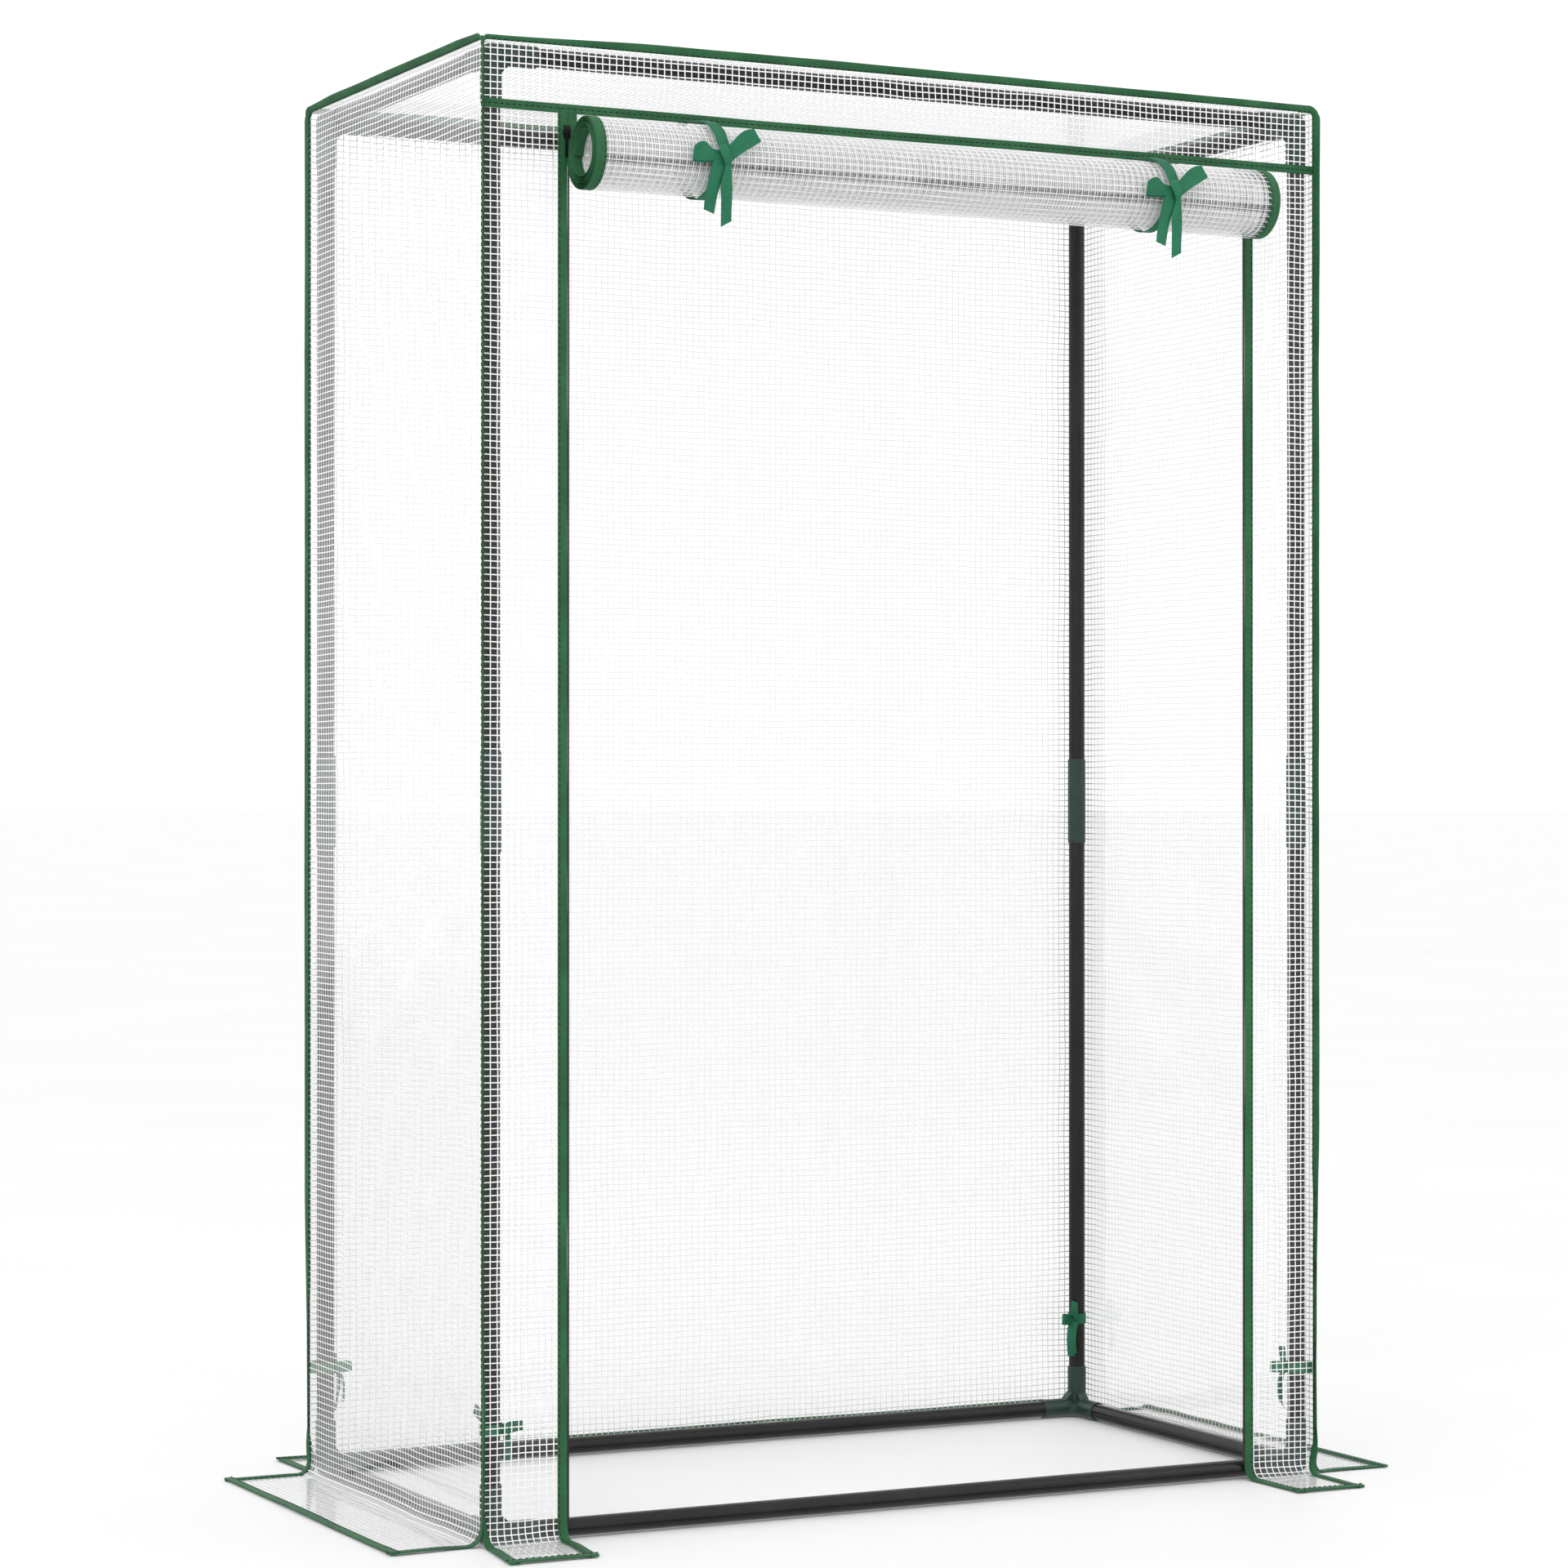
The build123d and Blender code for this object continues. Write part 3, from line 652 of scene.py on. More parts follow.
def wobble(path, wdir, ndir, seed, amp_w=0.0004, amp_n=0.0003, low=0.04, high=0.3, ends=0.02):
    """Small unevenness of a sewn tape along its length."""
    d = np.concatenate([[0], np.cumsum(np.linalg.norm(np.diff(path, axis=0), axis=1))])
    a, b = Waves(seed, low, high), Waves(seed + 5, low, high)
    m = smoothstep(np.minimum(d, d[-1] - d), 0, ends)[:, None] if ends else 1.0
    return path + wdir * (amp_w * a(d, 0) [:, None] * m) + ndir * (amp_n * b(d, 0)[:, None] * m)


S_ALL = {}


def tape(name, path, wdir, ndir, width, thick, cad=(), seed=0, st=0.32, body="cover", pitch=0.0056, sides=(1, -1), mat=None,
         stitch_rows=None, wob=True, thick_track=None, bld=None, sbld=None):
    path, wdir, ndir = (np.asarray(x, float) for x in (path, wdir, ndir))
    wdir = unit(wdir)
    ndir = unit(ndir - wdir * (ndir * wdir).sum(1, keepdims=True))
    if wob:
        path = wobble(path, wdir, ndir, seed)
    prof = np.array(tape_profile(width, thick, width * st))
    b = bld or Builder()
    if thick_track is not None:
        prof = np.broadcast_to(prof, (len(path),) + prof.shape).copy()
        prof[..., 0] *= thick_track[:, None]
    sweep(b, path, wdir, ndir, prof)
    s = sbld or Builder()
    for row in (stitch_rows or [st]):
        stitches(s, path, wdir, ndir, width * row, thick / 2 * 0.80, pitch=pitch, sides=sides)
    return b, s


def polyline3(*pts):
    return np.array(pts, float)


def densify(path, step=0.02):
    path = np.asarray(path, float)
    d = np.concatenate([[0], np.cumsum(np.linalg.norm(np.diff(path, axis=0), axis=1))])
    n = max(2, int(d[-1] / step) + 2)
    t = np.unique(np.concatenate([np.linspace(0, d[-1], n), d]))
    return np.stack([np.interp(t, d, path[:, i]) for i in range(3)], 1)


def const(v, n):
    return np.broadcast_to(np.array(v, float), (n, 3)).copy()


def ply(bld, sbld, P, Q, off, thick, row=0.14, sides=(1, -1), flip=False, high=0.00075):
    """A tape between an inner line P and its folded edge Q, moved by off, with stitches near P."""
    P, Q = np.asarray(P, float) + off, np.asarray(Q, float) + off
    wv = Q - P
    width = np.linalg.norm(wv, axis=1)
    wdir = wv / width[:, None]
    tan = unit(np.gradient((P + Q) / 2, axis=0))
    nrm = unit(np.cross(tan, wdir))
    if flip:
        nrm = -nrm
    thick = np.broadcast_to(np.asarray(thick, float), (len(P),))
    unit_prof = np.array([(0.0, -0.36), (row * 0.5, -0.48), (row, -0.37), (row * 1.6, -0.5), (0.86, -0.5), (0.965, -0.36), (1.0, 0.0),
                          (0.965, 0.36), (0.86, 0.5), (row * 1.6, 0.5), (row, 0.37), (row * 0.5, 0.48), (0.0, 0.36)])
    prof = np.stack([unit_prof[None, :, 0] * width[:, None], unit_prof[None, :, 1] * thick[:, None]], -1)
    sweep(bld, P, wdir, nrm, prof)
    stitches(sbld, P, wdir, nrm, float(np.median(width)) * row, float(np.median(thick)) * 0.42, height=high, sides=sides)


FIN_W, FIN_T = 0.0098, 0.0020
# direction of the folded seam seen from above, degrees from +X, at heights in metres
CORNERS = {
    "fl": ((-1, -1), [(0.0, 255), (0.06, 258), (0.14, 262), (0.20, 252), (0.30, 250.5), (1.0, 251.5), (1.40, 253), (1.5, 253)]),
    "fr": ((1, -1), [(0.0, 282), (0.05, 259), (0.12, 255), (0.24, 260), (0.38, 278), (1.2, 281), (1.5, 293)]),
    "bl": ((-1, 1), [(0.0, 120), (0.05, 82), (0.16, 86), (0.30, 100), (0.45, 104), (1.5, 106)]),
    "br": ((1, 1), [(0.0, 60), (0.1, 52), (0.4, 48), (1.5, 45)]),
}


def fin_dir(tag, z):
    hs, an = zip(*CORNERS[tag][1])
    a = np.radians(np.interp(z, hs, an))
    return np.stack([np.cos(a), np.sin(a), 0 * a], -1)


def edge_tracks(w, side, s, width, grow=0.0):
    """the surface's side edge and the line that is width in from it"""
    u = w.u0 if side == 0 else w.u1
    inn = 1 if side == 0 else -1
    s = np.asarray(s, float)
    return w.point(np.full(len(s), u - inn * grow), s), w.point(np.full(len(s), u + inn * width), s)


corner_b, corner_s = Builder(), Builder()
MEET = {"fl": ((W_LEFT, 0), (W_FL, 0)), "fr": ((W_RIGHT, 0), (W_FR, 1)), "bl": ((W_LEFT, 1), (W_BACK, 0)), "br": ((W_RIGHT, 1), (W_BACK, 1))}
for i, (tag, pair) in enumerate(MEET.items()):
    for j, (w, side) in enumerate(pair):
        s0 = w.s0 - 0.0006
        ss = np.concatenate([np.linspace(s0, w.s_flat, 9)[:-1], np.linspace(w.s_flat, BEND, 11)[:-1], np.linspace(BEND, 0.16, 18)[:-1],
                             np.linspace(0.16, TOP - 0.012, 54), np.linspace(TOP - 0.0108, TOP + 0.0006, 10)])
        E, I = edge_tracks(w, side, ss, FIN_W)
        # the upper stretch stays on the corner itself, whatever the film beside it does
        d = fin_dir(tag, np.maximum(ss, 0.0))
        open_ = 1 - smoothstep(ss, -0.014, {"fl": 0.045, "fr": 0.040}.get(tag, 0.05))
        open_ = open_[:, None]
        P = E * (1 - open_) + I * open_
        # the folded edge rounds over where the roof seams cross it
        over = np.sqrt(np.clip(1 - (np.clip(ss - (TOP - 0.009), 0, 1) / 0.0108) ** 2, 0.06, 1))[:, None]
        Q = (E + d * FIN_W * over) * (1 - open_) + E * open_
        out = w.out - (d * w.out).sum(1)[:, None] * d
        out = unit(out) * (FIN_T / 4) * (1 - open_)
        lift = np.array([0, 0, 1.0]) * 0.0009 * smoothstep(-ss, -0.01, 0.02)[:, None]
        P = P + lift
        Q = Q + lift
        th = FIN_T / 2 + (0.0019 - FIN_T / 2) * open_[:, 0]
        wob = Waves(830 + 7 * i + j, 0.05, 0.35)
        up = smoothstep(ss, 0.03, 0.12)[:, None] * (1 - smoothstep(ss, TOP - 0.05, TOP))[:, None]
        Q = Q + unit(Q - P) * (0.00035 * wob(ss, 0))[:, None] * up
        ply(corner_b, corner_s, P, Q, out, th)
put(corner_b.build("tape_corner_seams", M_TAPE, sharp=50), replaces=["seam_tape_corners"])
put(corner_s.build("stitches_corner_seams", M_STITCH, smooth=False))

# roof seams: each begins on the corner's seam, turns over it and runs along the roof's edge
roof_b, roof_s = Builder(), Builder()


def roof_seam(tag0, tag1, d, seed, width=0.0100, thin=(0.8, 0.8), arch=0.0, r=0.0052, drop=0.011):
    (sx0, sy0), (sx1, sy1) = CORNERS[tag0][0], CORNERS[tag1][0]
    z = TOP + 0.0003
    a = np.array([sx0 * FX, sy0 * FY, z])
    b = np.array([sx1 * FX, sy1 * FY, z])
    along = unit(b - a)
    d = unit(np.array(d, float))
    th = np.linspace(0, math.pi / 2, 7)
    up = np.array([0, 0, 1.0])
    start = np.concatenate([a[None] - up * drop, a - up * r + along * 0 + np.stack([(1 - math.cos(t)) * r * along + math.sin(t) * r * up for t in th])])
    end = np.concatenate([b - up * r + np.stack([-(1 - math.cos(t)) * r * along + math.sin(t) * r * up for t in th[::-1]]), b[None] - up * drop])
    mid = np.linspace(start[-1], end[0], 48)[1:-1]
    P = np.concatenate([start, mid, end])
    n0, n1 = len(start), len(end)
    wd = np.tile(d, (len(P), 1))
    d0, d1 = fin_dir(tag0, np.array([1.5]))[0], fin_dir(tag1, np.array([1.5]))[0]
    for k in range(n0):
        t = smoothstep(k / (n0 - 1), 0, 1)
        wd[k] = d0 * (1 - t) + d * t
    for k in range(n1):
        t = smoothstep(k / (n1 - 1), 0, 1)
        wd[len(P) - n1 + k] = d * (1 - t) + d1 * t
    wd = unit(wd)
    L = np.concatenate([[0], np.cumsum(np.linalg.norm(np.diff(P, axis=0), axis=1))])
    t = L / L[-1]
    w = width * (thin[0] + (1 - thin[0]) * smoothstep(t, 0.02, 0.20)) * (thin[1] + (1 - thin[1]) * smoothstep(1 - t, 0.02, 0.14))
    wave = Waves(seed, 0.08, 0.4)
    w = w * (1 + 0.035 * wave(L, 0))
    P = P + up * (arch * np.sin(math.pi * t))[:, None]
    ply(roof_b, roof_s, P, P + wd * w[:, None], 0, FIN_T)


roof_seam("fl", "fr", (0, -0.30, 1.0), 901, width=0.0086, thin=(0.62, 0.9), arch=0.0006)
roof_seam("br", "bl", (0, 0.40, 1.0), 902, width=0.0084)
roof_seam("bl", "fl", (-0.72, 0, 1.0), 903, width=0.0090)
roof_seam("fr", "br", (0.72, 0, 1.0), 904, width=0.0090)
put(roof_b.build("tape_roof_seams", M_TAPE, sharp=50), replaces=["seam_tape_roof"])
put(roof_s.build("stitches_roof_seams", M_STITCH, smooth=False))

# skirt hems: the outer edge of each skirt; its side edges are the corner tapes and the flaps' edge tapes
hem_b, hem_s = Builder(), Builder()
for i, w in enumerate((W_LEFT, W_RIGHT, W_BACK, W_FL, W_FR)):
    us = np.linspace(w.u0, w.u1, max(6, int((w.u1 - w.u0) / 0.02)))
    n = len(us)
    Q = w.point(us, np.full(n, w.s0 - 0.0006), 0.0016)
    P = w.point(us, np.full(n, w.s0 + 0.0094), 0.0016)
    ply(hem_b, hem_s, P, Q, 0, 0.0021, row=0.16, high=0.0009, flip=bool(np.cross(unit(P[-1] - P[0]), unit(Q[0] - P[0]))[2] < 0), sides=(1,))
put(hem_b.build("tape_skirt_hems", M_TAPE, sharp=50), replaces=["hem_tape_skirts"])
put(hem_s.build("stitches_skirt_hems", M_STITCH, smooth=False))

# valance edge
val_b, val_s = Builder(), Builder()
xs = np.linspace(-FX + 0.0005, FX - 0.0005, 90)
path = np.stack([xs, np.full(90, -FY - 0.0004), np.full(90, VAL_Z + 0.0090)], 1)
path[:, 2] += 0.0004 * Waves(1101, 0.12, 0.6)(xs, 0)
tape("", path, const((0, 0, -1), 90), const((0, -1, 0), 90), 0.0092, 0.0022, seed=1100, st=0.50, stitch_rows=[0.50],
     bld=val_b, sbld=val_s, pitch=0.00665, wob=False)
put(val_b.build("tape_valance_edge", M_TAPE, sharp=50), replaces=["tape_valance"])
put(val_s.build("stitches_valance_edge", M_STITCH, smooth=False))

# flap edges and the fixed zip halves
for tag, w, s_edge, inn, cad_t, cad_z in (("left", W_FL, FLAP_L1, -1, "tape_flap_left", "zip_half_left"),
                                          ("right", W_FR, FLAP_R0, 1, "tape_flap_right", "zip_half_right")):
    fb, fs = Builder(), Builder()
    ss = np.concatenate([np.linspace(w.s0 - 0.0006, w.s_flat, 9)[:-1], np.linspace(w.s_flat, BEND, 12)[:-1], np.linspace(BEND, VAL_Z + 0.002, 76)])
    E, I = edge_tracks(w, 1 if inn < 0 else 0, ss, 0.0104)
    lift = np.array([0, 0, 1.0]) * 0.0009 * smoothstep(-ss, -0.01, 0.02)[:, None] + w.normal(np.zeros(len(ss)), ss) * 0.0003
    wob = Waves(1210 + inn, 0.05, 0.3)
    E = E + (E - I) / 0.0104 * (0.0003 * wob(ss, 0))[:, None]
    nrm_up = np.cross(unit(I[40] - I[39]), unit(E[40] - I[40]))[1] < 0
    ply(fb, fs, I + lift, E + lift, 0, 0.0020, row=0.15, flip=not nrm_up, sides=(1, -1))
    put(fb.build("tape_flap_" + tag + "_edge", M_TAPE, sharp=50), replaces=[cad_t])
    put(fs.build("stitches_flap_" + tag, M_STITCH, smooth=False))
    zz = np.linspace(BEND, VAL_Z + 0.002, 76)
    n = len(zz)
    zb = Builder()
    # woven half of the zip, then its coil: a row of small teeth
    zpath = np.stack([np.full(n, s_edge - inn * 0.0002), np.full(n, -FY - 0.0002), zz + GROUND], 1)
    sweep(zb, zpath, const((-inn, 0, 0), n), const((0, -1, 0), n), [(0, -0.0004), (0.0013, -0.0004), (0.0013, 0.0004), (0, 0.0004)])
    tz = np.arange(BEND + 0.004, VAL_Z - 0.002, 0.0019)
    c = np.stack([np.full(len(tz), s_edge - inn * 0.0014), np.full(len(tz), -FY - 0.0002), tz], 1)
    ex, ey, ez = np.array([0.00085, 0, 0]), np.array([0, 0.00085, 0]), np.array([0, 0, 0.00062])
    corners = np.stack([c + a * ex + b * ey * (0.75 if dd else 1) + dz * ez for a, b, dz, dd in (
        (-1, -1, -1, 0), (1, -.6, -1, 1), (1, .6, -1, 1), (-1, 1, -1, 0), (-1, -1, 1, 0), (1, -.6, 1, 1), (1, .6, 1, 1), (-1, 1, 1, 0))], 1)
    off = (np.arange(len(tz)) * 8)[:, None, None]
    q = np.array([[0, 3, 2, 1], [4, 5, 6, 7], [0, 1, 5, 4], [1, 2, 6, 5], [2, 3, 7, 6], [3, 0, 4, 7]])
    zb.add(corners.reshape(-1, 3), (q[None] + off).reshape(-1, 4))
    put(zb.build("zip_coil_" + tag, M_ZIP, smooth=False), replaces=[cad_z])


# ------------------------------------------------------------------ the rolled door
RY, RZ = -0.287, 1.3893
R_OUT, R_IN, TURNS = 0.0381, 0.0226, 7
RX0, RX1 = -0.4028, 0.4017
ROLL_TAPE = 0.0112
roll_wave = Waves(2000, 0.10, 0.5)
roll_wave2 = Waves(2003, 0.05, 0.2)
ROLL_LEN = 2 * math.pi * TURNS * (R_OUT + R_IN) / 2


def roll_point(x, q, off=0.0):
    """x along the roll, q from 0 (outside, at the back) to 1 (inside), off outwards"""
    x, q = np.broadcast_arrays(np.asarray(x, float), np.asarray(q, float))
    r = R_OUT - 0.0004 + (R_IN - R_OUT + 0.0008) * q
    ang = -2 * math.pi * TURNS * q
    depth = 1 - q
    # uneven winding, and the two ties drawing it in
    r = r - 0.0004 * (0.5 + 0.5 * roll_wave(x, ang * 0.03)) - 0.0002 * (0.5 + 0.5 * roll_wave2(x * 1.0, ang * 0.02))
    for tx in (-0.268, 0.2625):
        r = r - 0.0011 * np.exp(-((x - tx) / 0.014) ** 2)
    hole = 0.0010 * q * np.sin(ang * 1.0 + 0.7)
    r = r + off + hole
    return np.stack([x, RY + r * np.cos(ang), RZ + r * np.sin(ang)], -1)


def roll_normal(x, q):
    x, q = np.broadcast_arrays(np.asarray(x, float), np.asarray(q, float))
    ang = -2 * math.pi * TURNS * q
    return np.stack([np.zeros_like(ang), np.cos(ang), np.sin(ang)], -1)


nq = TURNS * 40 + 1
qs = np.linspace(0, 1, nq)
xs = np.linspace(RX0 + 0.001, RX1 - 0.001, 46)
X, Q = np.meshgrid(xs, qs, indexing="ij")
M_ROLL = roll_film_material()
roll_film = make_mesh("door_roll_film", roll_point(X, Q).reshape(-1, 3), grid_faces(len(xs), nq), M_ROLL)
rb = Builder()
qt = np.linspace(0, 1, TURNS * 26 + 1)
wob_r = Waves(2100, 0.08, 0.4)
TRI = [(-1.0, -0.5), (1.0, -0.5), (0.0, 1.2)]


def roll_thread(bld, pts, nrm, width=0.00047, thick=0.00014):
    tan = unit(np.gradient(pts, axis=0))
    side = unit(np.cross(nrm, tan))
    sweep(bld, pts, side, nrm, [(a * width, b * thick) for a, b in TRI])


k0, k1 = int(math.ceil(RX0 / (PITCH_U * MM))), int(math.floor(RX1 / (PITCH_U * MM)))
# the weave runs a degree askew, so each turn's threads fall between those of the turn outside it
SKEW = 0.0262
for k in range(k0 - 4, k1 + 1):
    x = k * PITCH_U * MM
    xx = x + 0.00045 * wob_r(x * 0.5, qt * ROLL_LEN) + SKEW * qt
    on = (xx > RX0 + ROLL_TAPE * 0.6) & (xx < RX1 - ROLL_TAPE * 0.6)
    if on.sum() < 8:
        continue
    roll_thread(rb, roll_point(xx[on], qt[on], 0.0001), roll_normal(xx[on], qt[on]))
roll_threads_a = rb.build("door_roll_threads_around", M_THREAD, smooth=False)
rb = Builder()
xl = np.linspace(RX0 + ROLL_TAPE * 0.5, RX1 - ROLL_TAPE * 0.5, 26)
wob_l = Waves(2110, 0.08, 0.4)
n_long = int(ROLL_LEN / (PITCH_V * MM))
for k in range(1, n_long):
    # arc length to q: radius falls evenly along q
    L = k * PITCH_V * MM
    a, b_, c = (R_IN - R_OUT) / 2, R_OUT, -L / (2 * math.pi * TURNS)
    q = (-b_ + math.sqrt(b_ * b_ - 4 * a * c)) / (2 * a)
    qq = q + 0.0009 * wob_l(xl, L) / ROLL_LEN
    roll_thread(rb, roll_point(xl, qq, 0.00012), roll_normal(xl, qq), 0.00034)
roll_threads_l = rb.build("door_roll_threads_along", M_THREAD, smooth=False)

# side tapes of the door, rolled up with it
rt, rs = Builder(), Builder()
qt = np.linspace(0, 1, TURNS * 44 + 1)
for x_edge, inn in ((RX0, 1), (RX1, -1)):
    path = roll_point(np.full(len(qt), x_edge + inn * ROLL_TAPE), qt)
    shift = 0.0006 * np.sin(qt * 31.0) + 0.0004 * np.sin(qt * 87.0 + 1)
    wd = const((-inn, 0, 0), len(qt))
    path = path + wd * shift[:, None]
    nr = roll_normal(path[:, 0], qt)
    sweep(rt, path, wd, nr, tape_profile(ROLL_TAPE, 0.00105, ROLL_TAPE * 0.14))
    stitches(rs, path, wd, nr, ROLL_TAPE * 0.12, 0.0003, sides=(1,))
roll_tape = rt.build("door_roll_tape_ends", M_TAPE, sharp=50)
roll_st = rs.build("stitches_door_roll", M_STITCH, smooth=False)
for ob, sl, rep in ((roll_film, "grid_film", ["door_roll"]), (roll_threads_a, "grid_film", []), (roll_threads_l, "grid_film", []),
                    (roll_tape, "green_tape", ["door_roll_tape"]), (roll_st, "green_tape", [])):
    put(ob, "door_rolled", rep)
    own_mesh(ob)

# ------------------------------------------------------------------ hanging film between valance and roll
M_DOOR = door_sheet_material()
HX0, HX1 = RX0 + 0.0016, RX1 - 0.0016
HY = -0.24885
zs = np.concatenate([np.linspace(RZ - 0.001, RZ + 0.0505, 30)])
xs = np.linspace(HX0, HX1, 60)
X, Z = np.meshgrid(xs, zs, indexing="ij")
lean = smoothstep(Z, RZ, RZ + 0.045)
Y = HY + 0.0007 * lean
hang = make_mesh("door_hanging_film", np.stack([X, Y, Z], -1).reshape(-1, 3), grid_faces(len(xs), len(zs)), M_DOOR)
tb, ts_ = Builder(), Builder()
zz = np.linspace(RZ - 0.001, RZ + 0.0495, 26)
for x_edge, inn in ((RX0 + 0.0003, 1), (RX1 - 0.0003, -1)):
    n = len(zz)
    path = np.stack([np.full(n, x_edge + inn * 0.0105), HY + 0.0007 * smoothstep(zz, RZ, RZ + 0.045) - 0.0002, zz], 1)
    sweep(tb, path, const((-inn, 0, 0), n), const((0, -1, 0), n), tape_profile(0.0105, 0.0011, 0.0031))
hang_tape = tb.build("door_hanging_tape", M_TAPE, sharp=50)
for ob, sl, rep in ((hang, "grid_film", ["door_film_upper", "door_film_lower"]), (hang_tape, "green_tape", ["door_tape_upper", "door_tape_lower"])):
    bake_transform(ob)
    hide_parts(*rep)
    PIECES[ob.name] = ob


# ------------------------------------------------------------------ ribbon ties
def catmull(pts, per=8):
    pts = np.asarray(pts, float)
    p = np.concatenate([[2 * pts[0] - pts[1]], pts, [2 * pts[-1] - pts[-2]]])
    out = []
    for i in range(len(pts) - 1):
        t = np.linspace(0, 1, per, endpoint=False)[:, None]
        a, b, c, d = p[i], p[i + 1], p[i + 2], p[i + 3]
        out.append(0.5 * ((2 * b) + (-a + c) * t + (2 * a - 5 * b + 4 * c - d) * t ** 2 + (-a + 3 * b - 3 * c + d) * t ** 3))
    out.append(pts[-1:])
    return np.concatenate(out)


def ribbon(bld, pts, wdirs, width=0.011, thick=0.0009, per=8, taper=None, cut=0.0):
    """A woven ribbon: pts are points on its middle line, wdirs the direction of its width there."""
    path = catmull(pts, per)
    w = catmull(wdirs, per)
    tan = unit(np.gradient(path, axis=0))
    w = unit(w - tan * (w * tan).sum(1, keepdims=True))
    n = np.cross(tan, w)
    hw, ht = width / 2, thick / 2
    prof = np.array([(-hw, -ht * .5), (-hw * .94, -ht), (0, -ht * 0.92), (hw * .94, -ht), (hw, -ht * .5), (hw, ht * .5), (hw * .94, ht), (0, ht * 0.92), (-hw * .94, ht), (-hw, ht * .5)])
    prof = np.broadcast_to(prof, (len(path),) + prof.shape).copy()
    if taper is not None:
        t = np.linspace(0, 1, len(path))
        prof[..., 0] *= np.interp(t, *zip(*taper))[:, None]
    if cut:
        # no slanting cut is made at the far end: the path is only copied
        path = path.copy()
    sweep(bld, path, w, n, prof)


def two_edge(bld, pe, qe, thick=0.0009, n=26):
    """A ribbon given by its two edges, each a few points."""
    def fine(e):
        c = catmull(np.asarray(e, float) * MM, 8)
        d = np.concatenate([[0], np.cumsum(np.linalg.norm(np.diff(c, axis=0), axis=1))])
        t = np.linspace(0, d[-1], n)
        return np.stack([np.interp(t, d, c[:, i]) for i in range(3)], 1)
    P, Q = fine(pe), fine(qe)
    mid = (P + Q) / 2
    wv = Q - P
    width = np.linalg.norm(wv, axis=1)
    wdir = wv / width[:, None]
    tan = unit(np.gradient(mid, axis=0))
    nrm = unit(np.cross(tan, wdir))
    a, t = 0.5, thick / 2
    up = np.array([(-a, -t * .5), (-a * .93, -t), (0, -t * 0.9), (a * .93, -t), (a, -t * .5), (a, t * .5), (a * .93, t), (0, t * 0.9), (-a * .93, t), (-a, t * .5)])
    prof = np.stack([up[None, :, 0] * width[:, None], np.broadcast_to(up[None, :, 1], (n, len(up)))], -1)
    sweep(bld, mid, wdir, nrm, prof)


def fold_loop(bld, top, bot, depth, drop, inset=0.9, thick=0.0009):
    """A flattened loop of ribbon: out along the front, round the fold, back behind."""
    top, bot = np.asarray(top, float), np.asarray(bot, float)
    back = np.array([0, depth, drop])
    k = max(2, int(len(top) * inset))
    out_dir = unit((top[-1] + bot[-1]) - (top[-2] + bot[-2]))
    e1, e2 = (top[-1] + out_dir * 0.8 + back * 0.35), (bot[-1] + out_dir * 0.8 + back * 0.35)
    pe = np.concatenate([top, [e1], [top[-1] + back], (top[:-1] + back)[::-1]])
    qe = np.concatenate([bot, [e2], [bot[-1] + back], (bot[:-1] + back)[::-1]])
    two_edge(bld, pe, qe, thick, n=64)


